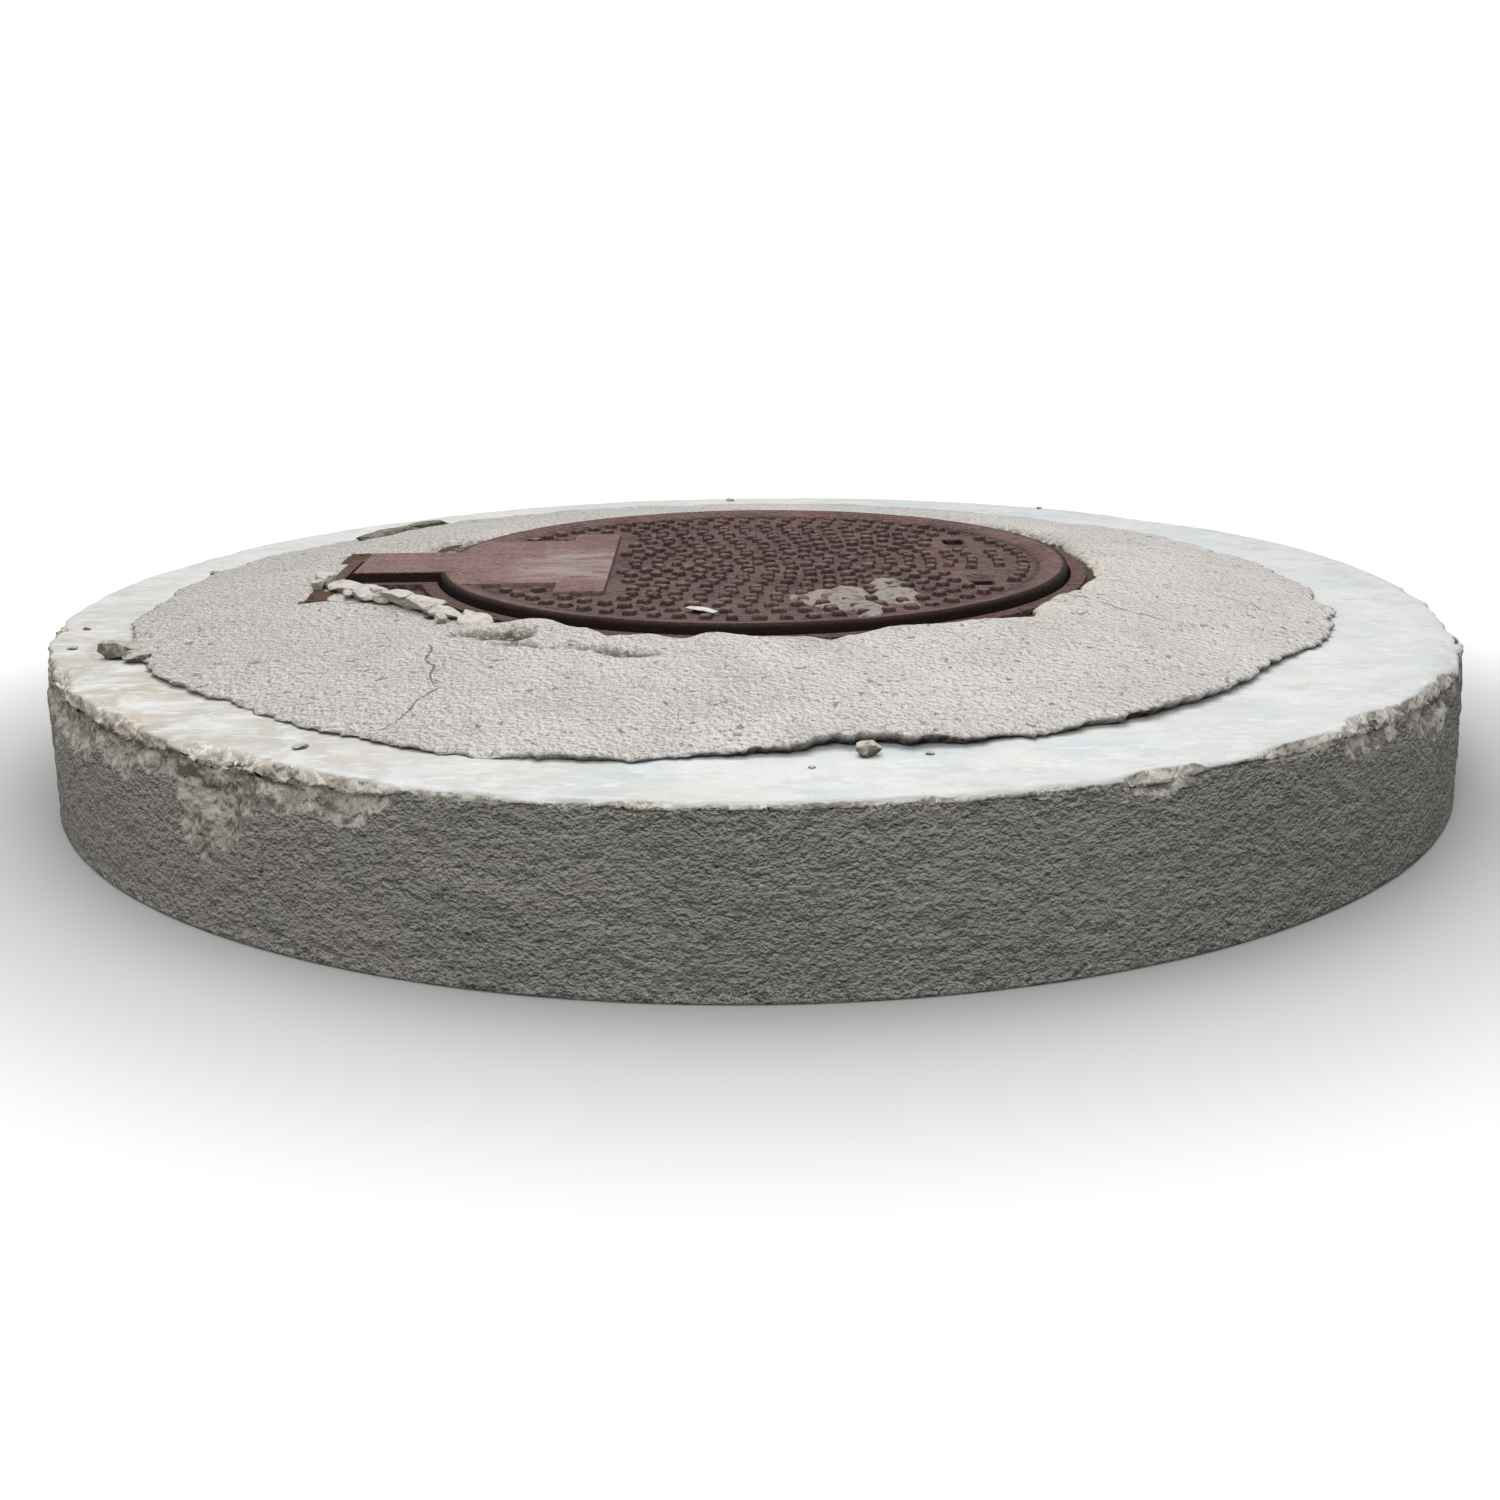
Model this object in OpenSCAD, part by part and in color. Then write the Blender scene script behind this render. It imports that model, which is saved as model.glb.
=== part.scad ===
// Hinged cast-iron manhole cover on its round precast concrete cover slab.
// The iron frame stands on mortar in a step of the slab, is bolted down, and is
// packed round with a sloping mortar haunch. The lid turns on a pin at its -X side.
// Origin: centre of the slab's underside. +Z is up. All sizes in millimetres.

/* [Concrete slab] */
// Outside radius of the round slab
slab_r = 700; // [690:1:760]
// Thickness of the slab
slab_h = 150; // [140:1:180]
// Radius of the round opening through the slab
opening_r = 310; // [304:1:316]
// Radius of the step that takes the frame
step_r = 452; // [448:1:458]
// Depth of the step below the top of the slab
step_depth = 59; // [56:1:62]
// Bevel worn on the slab's top edge
edge_bevel = 6; // [2:1:10]

/* [Reinforcement] */
// Concrete cover under the bottom hoops
cover_depth = 30; // [25:1:32]
// Diameter of the hoop bars
hoop_d = 12; // [8:1:12]
// Diameter of the radial bars
radial_d = 10; // [6:1:10]
// Number of radial bars
radial_count = 16; // [16]
// Diameter of the upright links
link_d = 8; // [6:1:8]

/* [Mortar] */
// Thickness of the mortar bed under the frame
bed_t = 10; // [8:1:12]
// Outside radius of the haunch
haunch_r = 600; // [560:1:620]
// How far the haunch sits towards the hinge
haunch_shift = 22; // [0:1:30]
// Height of the haunch's outer lip above the slab
lip_h = 10; // [6:1:14]
// How far the haunch laps over the frame's top flange
haunch_lap = 28; // [10:1:30]

/* [Frame] */
// Clear opening radius inside the seat ledge
clear_r = 300; // [298:0.5:300]
// Inside radius of the ring round the lid
ring_r = 326; // [325.5:0.5:327]
// Thickness of the ring's wall
wall_t = 15; // [12:1:16]
// Height of the frame
frame_h = 80; // [78:1:82]
// Thickness of the frame's bottom flange
foot_t = 10; // [8:1:10]
// Outside radius of the bottom flange
foot_r = 440; // [438:1:442]
// Outside radius of the top flange
flange_r = 372; // [366:1:376]
// Thickness of the top flange
flange_t = 10; // [9:1:12]
// Depth of the top flange below the top of the ring
flange_drop = 6; // [3:1:8]
// Number of gussets under the top flange
gusset_count = 12; // [12]

/* [Lid] */
// Radius of the lid
lid_r = 322.5; // [321:0.5:323]
// How far the lid stands above the frame
lid_proud = 10; // [8:1:12]
// Width of the raised rim, from the lid's edge to the foot of its slope
rim_w = 30; // [26:1:32]
// Width of the flat crest of the rim
crest_w = 6; // [3:1:12]
// Depth of the tread field below the rim
field_drop = 5; // [4:0.5:6]
// Thickness of the lid's plate
plate_t = 12; // [11:0.5:13]
// Number of ribs under the plate
rib_count = 6; // [6]

/* [Tread] */
// Radius of the outermost ring of studs
tread_r = 279; // [277:1:281]
// Distance between the three outer rings
outer_pitch = 26.5; // [26:0.5:27]
// Distance between the inner rings
inner_pitch = 21; // [20.5:0.5:22]
// Number of rings
tread_rings = 13; // [10:1:13]
// Distance between studs along a ring
stud_gap = 24.5; // [24:0.5:27]
// Width of a stud along its ring
stud_w = 14.5; // [12:0.5:16]
// Length of a stud across its ring
stud_l = 14; // [12:0.5:15]
// Height of a stud
stud_h = 4; // [3:0.5:4.5]

/* [Hinge] */
// Distance of the hinge pin from the centre
pin_x = 375; // [375]
// Height of the pin below the lid's top
pin_drop = 26; // [26]
// Radius of the hinge pin
pin_r = 10; // [9:0.5:11]
// Radial running clearance of the pin
pin_clear = 0.05; // [0.03:0.01:0.08]
// Width of the lid's hinge arm
arm_w = 110; // [100:1:112]
// Gap between the arm and each cheek of the hinge box
arm_gap = 5; // [4:0.5:6]
// Thickness of the hinge box's cheeks
cheek_t = 12; // [12:1:14]

/* [Lifting pockets] */
// Distance of the pockets from the centre along the hinge line's normal
pocket_x = 222; // [218:1:224]
// Distance of the pockets from the centre line
pocket_y = 100; // [98:1:102]
// Radius of a pocket's round ends
pocket_r = 16; // [14:1:17]
// Straight length of a pocket between its round ends
pocket_run = 34; // [30:1:36]

/* [Hidden] */

$fn = 96;

// A cut runs this far past the solid it goes through
past = 1;

// Heights, from the slab's underside
step_z = slab_h - step_depth;
frame_z = step_z + bed_t;
frame_top = frame_z + frame_h;
lid_top = frame_top + lid_proud;
field_z = lid_top - field_drop;
plate_z = field_z - plate_t;
wall_r = ring_r + wall_t;
flange_top = frame_top - flange_drop;

// Seat ledge and gasket
ledge_t = 10;
ledge_z = frame_z + 42;
gasket_t = 4;
gasket_z = ledge_z + ledge_t;
seat_z = gasket_z + gasket_t;
gasket_in_r = 302;
gasket_out_r = 320;

// Reinforcement
bar_gap = 1;
bottom_hoop_z = cover_depth + hoop_d / 2;
bottom_hoop_rs = [345, 485, 660];
top_hoop_z = slab_h - cover_depth - hoop_d / 2;
top_hoop_rs = [485, 660];
radial_z = cover_depth + hoop_d + bar_gap + radial_d / 2;
radial_in_r = 328;
radial_out_r = 682;
spacer_w = 24;
spacer_rs = [485, 660];
spacer_count = 8;

// Lifting anchors, cast in under the haunch
anchor_r = 545;
anchor_count = 4;
anchor_h = 80;
anchor_body_r = 13;
anchor_foot_r = 26;
anchor_foot_t = 6;
anchor_thread_r = 8;
anchor_thread_len = 50;
plug_h = 18;

// Hold-down studs of the frame
stud_circle_r = 395;
stud_count = 6;
stud_first = 30;
bolt_r = 8;
bolt_hole_r = 9;
bolt_sunk = 46;
washer_r = 15;
washer_t = 3;
nut_across_flats = 24;
nut_t = 13;
bolt_top_z = frame_z + foot_t + washer_t + nut_t + 6;

// Haunch: how high its crown stands above the frame, and where the crown starts
crown_h = 3;
crown_r = flange_r + 6;
haunch_root_r = wall_r - 40;

// Levelling shims under the frame
shim_in_r = 335;
shim_w = 40;
shim_l = 50;
shim_count = 3;

// Gussets of the frame
gusset_t = 10;
gusset_first = 15;
gusset_out_r = 415;
gusset_top_r = flange_r - 6;

// Hinge box and the flange round it
pin_z = lid_top - pin_drop;
box_half = arm_w / 2 + arm_gap;
cheek_half = box_half + cheek_t;
box_end_in = pin_x + 43;
box_end_out = box_end_in + cheek_t;
box_floor_z = frame_z + 17;
plate_half = 128;
plate_end = box_end_out + 16;
plate_root = ring_r - 46;
window_half = plate_half - 10;
window_end = plate_end - 8;
box_join_r = wall_r - 11;
gap_in_r = clear_r - 20;
pin_half = cheek_half - 1;

// Hinge arm of the lid
arm_end = pin_x + 30;
arm_end_drop = 19;
arm_under_z = seat_z + 1;
eye_r = 24;
arm_root = lid_r - 10.5;
roll_pin_r = 3;
roll_pin_len = 31;
roll_pin_flush = 0.5;
roll_pin_top = frame_top - roll_pin_flush;
hinge_washer_r = 14;
hinge_washer_t = 2;

// Lid
rim_bevel = 2;
rim_in_r = lid_r - rim_w;
crest_in_r = lid_r - rim_bevel - crest_w;
skirt_in_r = 301;
spigot_in_r = 284;
spigot_out_r = 294;
spigot_z = lid_top - 46;
spigot_root = 6;
rib_t = 8;
rib_z = lid_top - 52;
rib_ring_r = 150;
rib_ring_z = rib_z + 6;
plate_a_x = 192;
plate_a_half = 120;
plate_b_x = 146;
plate_b_half = 163;
plate_b_drop = 0.6;
plate_out_r = crest_in_r + 3;
tread_clear = 10;

// Lifting pockets
pocket_depth = 12;
boss_wall = 6;
boss_t = 12;
pan_top = plate_z - boss_t;
slot_x = 12;
slot_y = 26;
slot_shift = 20;
pan_wall = 2;
pan_h = 14;
pan_r = pocket_r + 8;
pan_lug_r = 9;
pan_bolt_out = 7;
pan_bolt_r = 3;
pan_bolt_reach = 10;
pan_bolt_head_af = 10;
pan_bolt_head_t = 4;

// ---------- helpers ----------

module ring(inner_r, outer_r, low, high) {
    rotate_extrude()
        translate([inner_r, low])
            square([outer_r - inner_r, high - low]);
}

module disc(radius, low, high) {
    translate([0, 0, low])
        cylinder(r = radius, h = high - low);
}

// Box from one corner to the opposite one
module span(low, high) {
    translate(low)
        cube(high - low);
}

module around(count, first = 0) {
    for (i = [0 : count - 1])
        rotate(first + i * 360 / count)
            children();
}

// Rod lying along Y through the hinge axis
module on_hinge_axis(radius, from_y, to_y) {
    translate([-pin_x, from_y, pin_z])
        rotate([-90, 0, 0])
            cylinder(r = radius, h = to_y - from_y);
}

// Stadium standing on Z, long along Y
module slot_shape(radius, run, low, high) {
    for (side = [-1, 1])
        translate([0, side * run / 2, 0])
            disc(radius, low, high);
    span([-radius, -run / 2, low], [radius, run / 2, high]);
}

module both_sides() {
    children();
    mirror([0, 1, 0])
        children();
}

// ---------- slab and what is cast in it ----------

module hoops(radii, height) {
    for (r = radii)
        rotate_extrude()
            translate([r, height])
                circle(d = hoop_d, $fn = 32);
}

module radial_bars() {
    around(radial_count, 180 / radial_count)
        translate([radial_in_r, 0, radial_z])
            rotate([0, 90, 0])
                cylinder(d = radial_d, h = radial_out_r - radial_in_r, $fn = 32);
}

module links() {
    for (r = top_hoop_rs)
        around(radial_count)
            translate([r - hoop_d / 2 - bar_gap - link_d / 2, 0, cover_depth])
                cylinder(d = link_d, h = slab_h - 2 * cover_depth, $fn = 32);
}

module spacers() {
    for (r = spacer_rs)
        around(spacer_count, 180 / radial_count)
            translate([r - spacer_w / 2, -spacer_w / 2, 0])
                cube([spacer_w, spacer_w, cover_depth - bar_gap]);
}

module anchor_shape() {
    translate([anchor_r, 0, slab_h - anchor_h]) {
        cylinder(r = anchor_foot_r, h = anchor_foot_t, $fn = 48);
        cylinder(r = anchor_body_r, h = anchor_h, $fn = 48);
    }
}

module anchor_bolt_rods(low, high, radius) {
    around(stud_count, stud_first)
        translate([stud_circle_r, 0, 0])
            disc(radius, low, high, $fn = 32);
}

module cover_slab() {
    color("gainsboro")
        difference() {
            rotate_extrude()
                polygon([
                    [opening_r, 0],
                    [slab_r, 0],
                    [slab_r, slab_h - edge_bevel],
                    [slab_r - edge_bevel, slab_h],
                    [step_r, slab_h],
                    [step_r, step_z],
                    [opening_r, step_z]
                ]);
            hoops(bottom_hoop_rs, bottom_hoop_z);
            hoops(top_hoop_rs, top_hoop_z);
            radial_bars();
            links();
            spacers();
            around(anchor_count, 45)
                anchor_shape();
            anchor_bolt_rods(bolt_sunk, slab_h, bolt_r);
        }
}

module rebar_bottom_hoops() {
    color("sienna")
        hoops(bottom_hoop_rs, bottom_hoop_z);
}

module rebar_top_hoops() {
    color("sienna")
        hoops(top_hoop_rs, top_hoop_z);
}

module rebar_radials() {
    color("peru")
        radial_bars();
}

module rebar_links() {
    color("saddlebrown")
        links();
}

module rebar_spacers() {
    color("lightgrey")
        spacers();
}

module lifting_anchors() {
    color("silver")
        around(anchor_count, 45)
            difference() {
                anchor_shape();
                translate([anchor_r, 0, slab_h - anchor_thread_len])
                    cylinder(r = anchor_thread_r, h = anchor_thread_len + past, $fn = 32);
            }
}

module lifting_plugs() {
    color("orange")
        around(anchor_count, 45)
            translate([anchor_r, 0, slab_h - plug_h])
                cylinder(r = anchor_thread_r, h = plug_h, $fn = 32);
}

// ---------- mortar ----------

module shim_blocks() {
    around(shim_count, 60)
        span([shim_in_r, -shim_w / 2, step_z], [shim_in_r + shim_l, shim_w / 2, frame_z]);
}

module mortar_bed() {
    color("darkgrey")
        difference() {
            ring(opening_r, foot_r, step_z, frame_z);
            shim_blocks();
            anchor_bolt_rods(step_z - past, frame_z + past, bolt_r);
        }
}

module levelling_shims() {
    color("steelblue")
        shim_blocks();
}

module mortar_haunch() {
    color("lightgrey")
        difference() {
            union() {
                translate([-haunch_shift, 0, 0])
                    rotate_extrude()
                        polygon([
                            [haunch_root_r, slab_h],
                            [haunch_r, slab_h],
                            [haunch_r, slab_h + lip_h],
                            [crown_r, frame_top + crown_h],
                            [haunch_root_r, frame_top + crown_h]
                        ]);
                ring(wall_r, step_r, step_z, slab_h + past);
            }
            // the frame's wall and the space inside it
            disc(wall_r, step_z - past, lid_top);
            // the top flange shows inside this edge
            disc(flange_r - haunch_lap, flange_top, lid_top);
            span([-window_end, -window_half, flange_top], [0, window_half, lid_top]);
            // what is buried in the mortar
            ring(wall_r - past, foot_r, step_z - past, frame_z + foot_t);
            frame_top_plates();
            gussets();
            span([-box_end_out, -cheek_half, frame_z], [-box_join_r, cheek_half, frame_top]);
            anchor_bolt_rods(frame_z, bolt_top_z, bolt_r);
            washer_set();
            nut_set(0);
        }
}

// ---------- frame ----------

module frame_top_plates() {
    ring(ring_r, flange_r, flange_top - flange_t, flange_top);
    difference() {
        span([-plate_end, -plate_half, flange_top - flange_t], [-plate_root, plate_half, flange_top]);
        disc(ring_r, flange_top - flange_t - past, flange_top + past);
    }
}

module gussets() {
    around(gusset_count, gusset_first)
        translate([0, gusset_t / 2, 0])
            rotate([90, 0, 0])
                linear_extrude(gusset_t)
                    polygon([
                        [wall_r - past, frame_z + foot_t],
                        [gusset_out_r, frame_z + foot_t],
                        [gusset_top_r, flange_top - flange_t],
                        [wall_r - past, flange_top - flange_t]
                    ]);
}

module frame() {
    color("rosybrown")
        difference() {
            union() {
                ring(clear_r, foot_r, frame_z, frame_z + foot_t);
                ring(ring_r, wall_r, frame_z, frame_top);
                ring(clear_r, ring_r + past, ledge_z, gasket_z);
                frame_top_plates();
                gussets();
                span([-box_end_out, -cheek_half, frame_z], [-box_join_r, cheek_half, frame_top]);
            }
            // hinge pocket, and the gap in the ring that the arm passes through
            span([-box_end_in, -box_half, box_floor_z], [-wall_r, box_half, frame_top + past]);
            span([-wall_r - past, -box_half, gasket_z], [-gap_in_r, box_half, frame_top + past]);
            on_hinge_axis(pin_r + pin_clear, -cheek_half - past, cheek_half + past, $fn = 64);
            roll_pins(roll_pin_r, past);
            anchor_bolt_rods(frame_z - past, frame_z + foot_t + past, bolt_hole_r);
        }
}

// ---------- hold-down bolts ----------

module washer_set() {
    around(stud_count, stud_first)
        translate([stud_circle_r, 0, frame_z + foot_t])
            cylinder(r = washer_r, h = washer_t, $fn = 48);
}

module nut_set(hole_r) {
    around(stud_count, stud_first)
        translate([stud_circle_r, 0, frame_z + foot_t + washer_t])
            difference() {
                cylinder(d = nut_across_flats / cos(30), h = nut_t, $fn = 6);
                if (hole_r > 0)
                    translate([0, 0, -past])
                        cylinder(r = hole_r, h = nut_t + 2 * past, $fn = 32);
            }
}

module anchor_studs() {
    color("silver")
        anchor_bolt_rods(bolt_sunk, bolt_top_z, bolt_r);
}

module anchor_washers() {
    color("gainsboro")
        difference() {
            washer_set();
            anchor_bolt_rods(frame_z, bolt_top_z, bolt_r);
        }
}

module anchor_nuts() {
    color("silver")
        nut_set(bolt_r);
}

// ---------- seat and hinge ----------

module seat_gasket() {
    color("dimgray")
        ring(gasket_in_r, gasket_out_r, gasket_z, seat_z);
}

// Roll pins through the cheeks, which keep the hinge pin from turning or sliding out
module roll_pins(radius, extra) {
    both_sides()
        translate([-pin_x, (box_half + cheek_half) / 2, 0])
            disc(radius, roll_pin_top - roll_pin_len, roll_pin_top + extra, $fn = 32);
}

module hinge_pin() {
    color("silver")
        difference() {
            on_hinge_axis(pin_r, -pin_half, pin_half, $fn = 64);
            roll_pins(roll_pin_r, past);
        }
}

module hinge_roll_pins() {
    color("slategray")
        roll_pins(roll_pin_r, 0);
}

module hinge_washers() {
    color("gainsboro")
        both_sides()
            difference() {
                on_hinge_axis(hinge_washer_r, box_half - hinge_washer_t, box_half, $fn = 64);
                on_hinge_axis(pin_r + pin_clear, box_half - hinge_washer_t - past, box_half + past, $fn = 64);
            }
}

// ---------- lid ----------

function tread_ring_r(k) = tread_r - min(k, 2) * outer_pitch - max(k - 2, 0) * inner_pitch;

function tread_ring_count(k) = max(5, round(2 * PI * tread_ring_r(k) / stud_gap));

// True where the tread is plain: on the two smooth plates and round the lifting pockets
function is_plain(x, y) =
    (x < -plate_a_x + tread_clear && abs(y) < plate_a_half + tread_clear)
    || (x < -plate_b_x + tread_clear && x > -plate_a_x - tread_clear && abs(y) < plate_b_half + tread_clear)
    || (abs(x - pocket_x) < pocket_r + tread_clear
        && abs(abs(y) - pocket_y) < pocket_r + pocket_run / 2 + tread_clear);

module tread_studs() {
    for (k = [0 : tread_rings - 1]) {
        ring_now = tread_ring_r(k);
        count = tread_ring_count(k);
        for (i = [0 : count - 1]) {
            turn = (i + (k % 2) / 2) * 360 / count;
            if (!is_plain(ring_now * cos(turn), ring_now * sin(turn)))
                rotate(turn)
                    translate([ring_now - stud_l / 2, -stud_w / 2])
                        square([stud_l, stud_w]);
        }
    }
}

// Side view of the arm, drawn in X and Z and as wide as the arm
module arm_body() {
    translate([0, arm_w / 2, 0])
        rotate([90, 0, 0])
            linear_extrude(arm_w) {
                polygon([
                    [-arm_root, lid_top],
                    [-arm_end, lid_top],
                    [-arm_end, lid_top - arm_end_drop],
                    [-pin_x, arm_under_z],
                    [-arm_root, arm_under_z]
                ]);
                translate([-pin_x, pin_z])
                    circle(r = eye_r, $fn = 64);
            }
}

// The smooth plates run out to the rim's crest and are trimmed round with it
module smooth_plates() {
    intersection() {
        union() {
            span([-lid_r, -plate_a_half, field_z - past], [-plate_a_x, plate_a_half, lid_top]);
            span([-plate_a_x - past, -plate_b_half, field_z - past],
                 [-plate_b_x, plate_b_half, lid_top - plate_b_drop]);
        }
        disc(plate_out_r, field_z - past, lid_top);
    }
}

module under_ribs() {
    around(rib_count)
        span([0, -rib_t / 2, rib_z], [spigot_in_r + past, rib_t / 2, plate_z + past]);
    ring(rib_ring_r - rib_t / 2, rib_ring_r + rib_t / 2, rib_ring_z, plate_z + past);
}

module at_pockets() {
    both_sides()
        translate([pocket_x, pocket_y, 0])
            children();
}

module pan_bolt_places() {
    for (side = [-1, 1])
        translate([0, side * (pocket_run / 2 + pan_r + pan_bolt_out), 0])
            children();
}

module lid() {
    color("brown")
        difference() {
            union() {
                rotate_extrude()
                    polygon([
                        [0, plate_z],
                        [0, field_z],
                        [rim_in_r, field_z],
                        [crest_in_r, lid_top],
                        [lid_r - rim_bevel, lid_top],
                        [lid_r, lid_top - rim_bevel],
                        [lid_r, seat_z],
                        [skirt_in_r, seat_z],
                        [spigot_out_r, plate_z - spigot_root],
                        [spigot_out_r, spigot_z],
                        [spigot_in_r, spigot_z],
                        [spigot_in_r, plate_z]
                    ]);
                arm_body();
                smooth_plates();
                under_ribs();
                translate([0, 0, field_z - past])
                    linear_extrude(stud_h + past)
                        tread_studs();
                at_pockets() {
                    slot_shape(pan_r, pocket_run, pan_top, plate_z + past);
                    pan_bolt_places()
                        disc(pan_lug_r, pan_top, plate_z + past, $fn = 48);
                }
            }
            at_pockets() {
                slot_shape(pocket_r, pocket_run, field_z - pocket_depth, lid_top + past);
                span([-slot_x / 2, slot_shift - slot_y / 2, pan_top - past],
                     [slot_x / 2, slot_shift + slot_y / 2 - boss_wall, field_z]);
                pan_bolt_places()
                    disc(pan_bolt_r, pan_top - past, pan_top + pan_bolt_reach, $fn = 32);
            }
            on_hinge_axis(pin_r + pin_clear, -arm_w / 2 - past, arm_w / 2 + past, $fn = 64);
        }
}

// Dirt pans that close the key slots from below
module key_pans() {
    color("slategray")
        at_pockets()
            difference() {
                union() {
                    slot_shape(pan_r, pocket_run, pan_top - pan_h, pan_top);
                    pan_bolt_places()
                        disc(pan_lug_r, pan_top - pan_wall, pan_top, $fn = 48);
                }
                slot_shape(pan_r - pan_wall, pocket_run, pan_top - pan_h + pan_wall, pan_top + past);
                pan_bolt_places()
                    disc(pan_bolt_r, pan_top - pan_h, pan_top + past, $fn = 32);
            }
}

module key_pan_bolts() {
    color("silver")
        at_pockets()
            pan_bolt_places() {
                disc(pan_bolt_r, pan_top - pan_wall, pan_top + pan_bolt_reach, $fn = 32);
                translate([0, 0, pan_top - pan_wall - pan_bolt_head_t])
                    cylinder(d = pan_bolt_head_af / cos(30), h = pan_bolt_head_t, $fn = 6);
            }
}

cover_slab();
rebar_bottom_hoops();
rebar_top_hoops();
rebar_radials();
rebar_links();
rebar_spacers();
lifting_anchors();
lifting_plugs();
mortar_bed();
levelling_shims();
mortar_haunch();
frame();
anchor_studs();
anchor_washers();
anchor_nuts();
seat_gasket();
hinge_pin();
hinge_roll_pins();
hinge_washers();
lid();
key_pans();
key_pan_bolts();
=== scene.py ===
"""Looks of a hinged iron manhole cover in its concrete cover slab.

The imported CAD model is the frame. The slab, the mortar haunch and the lid are replaced by
sculpted meshes of the same size; every other CAD node keeps its shape and gets a material.
Lengths are in metres, angles in degrees unless a name says otherwise.
"""
import math

import bmesh
import bpy
import numpy as np
from mathutils import Matrix, Vector


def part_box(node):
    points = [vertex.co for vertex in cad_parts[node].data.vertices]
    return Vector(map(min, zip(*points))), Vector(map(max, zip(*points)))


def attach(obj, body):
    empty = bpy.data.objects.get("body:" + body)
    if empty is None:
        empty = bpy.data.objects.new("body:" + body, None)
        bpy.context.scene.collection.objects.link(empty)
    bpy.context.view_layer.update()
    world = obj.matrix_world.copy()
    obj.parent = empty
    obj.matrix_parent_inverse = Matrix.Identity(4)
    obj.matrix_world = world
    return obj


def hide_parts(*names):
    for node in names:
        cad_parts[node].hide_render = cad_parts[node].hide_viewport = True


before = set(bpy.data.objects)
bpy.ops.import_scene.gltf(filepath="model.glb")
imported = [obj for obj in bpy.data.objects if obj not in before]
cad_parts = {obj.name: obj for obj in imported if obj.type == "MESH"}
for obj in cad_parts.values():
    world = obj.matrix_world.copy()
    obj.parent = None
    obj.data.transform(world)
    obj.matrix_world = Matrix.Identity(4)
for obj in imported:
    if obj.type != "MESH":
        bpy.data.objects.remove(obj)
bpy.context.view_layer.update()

MM = 0.001

# How much light the studio throws on faces that look up and on upright ones
TOP_LIGHT = 1.37
SIDE_LIGHT = 0.60

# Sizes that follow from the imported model
SLAB_R, _, SLAB_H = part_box("cover_slab")[1]
FRAME_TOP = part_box("frame")[1][2]
FLANGE_TOP = FRAME_TOP - 6 * MM
lid_low, lid_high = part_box("lid")
LID_R = lid_high[0]
LID_TOP = lid_high[2]
ARM_END = -lid_low[0]
RIB_Z = lid_low[2]
SEAT_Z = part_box("seat_gasket")[1][2]
STEP_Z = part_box("mortar_bed")[0][2]


# ---------- noise ----------

# Any large odd numbers will do: they only have to scramble the bits
CELL_PRIMES = (73856093, 19349663, 83492791)
SEED_PRIME = 2654435761


def lattice(cell, seed):
    """A repeatable random value from 0 to 1 for each whole-numbered cell."""
    mixed = seed * SEED_PRIME
    for axis, prime in enumerate(CELL_PRIMES):
        mixed = mixed ^ cell[:, axis] * prime
    mixed = (mixed ^ (mixed >> 13)) * 1274126177
    mixed = (mixed ^ (mixed >> 17)) * 668265263
    mixed = mixed ^ (mixed >> 15)
    return (mixed & 0xFFFFF) / 0xFFFFF


def value_noise(points, seed):
    """Smooth noise from -1 to 1, one unit across."""
    base = np.floor(points).astype(np.int64)
    part = points - base
    part = part * part * part * (part * (part * 6 - 15) + 10)
    total = np.zeros(len(points))
    for corner in np.ndindex(2, 2, 2):
        weight = np.prod(np.where(corner, part, 1 - part), axis=1)
        total += weight * lattice(base + np.array(corner), seed)
    return total * 2 - 1


def fbm(points, size, octaves, seed):
    """Layered noise from about -1 to 1 whose largest lumps are size across."""
    total, weight, sum_weights = 0, 1.0, 0.0
    for octave in range(octaves):
        scaled = points * (2 ** octave / size) + octave * 17.3
        total = total + weight * value_noise(scaled, seed + octave)
        sum_weights += weight
        weight *= 0.5
    return total / sum_weights * 1.6


def cells(points, size, seed):
    """Distance to the nearest scattered point, in units of size, and that point's random value."""
    scaled = points / size
    base = np.floor(scaled).astype(np.int64)
    nearest = np.full(len(points), 9.0)
    value = np.zeros(len(points))
    for step in np.ndindex(3, 3, 3):
        cell = base + np.array(step) - 1
        spot = cell + np.stack([lattice(cell, seed + axis) for axis in range(3)], axis=1)
        away = np.linalg.norm(scaled - spot, axis=1)
        closer = away < nearest
        nearest = np.where(closer, away, nearest)
        value = np.where(closer, lattice(cell, seed + 7), value)
    return nearest, value


def smooth(low, high, x):
    """Smooth step from 0 at low to 1 at high."""
    t = np.clip((x - low) / (high - low), 0, 1)
    return t * t * (3 - 2 * t)


def hump(distance, width):
    """1 at no distance, falling like a bell over about width."""
    return np.exp(-(distance / width) ** 2)


def fade(distance, width):
    """1 at no distance, falling off over about width."""
    return np.exp(-distance / width)


def turn_gap(angle, centre):
    """Angle from centre, from -180 to 180 degrees."""
    return (angle - centre + 180) % 360 - 180


def bump_at(angle, centre, half_width):
    """1 at centre, falling to 0 at half_width on either side."""
    return smooth(1, 0, np.abs(turn_gap(angle, centre)) / half_width)


def bumps(angle, *places):
    """The sum of bumps given by height, centre and half width."""
    return sum(height * bump_at(angle, centre, width) for height, centre, width in places)


def on_circle(angle):
    """Unit vectors in plan at these angles."""
    turn = np.radians(angle)
    return np.stack([np.cos(turn), np.sin(turn), 0 * turn], axis=1)


# ---------- mesh building ----------

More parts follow.
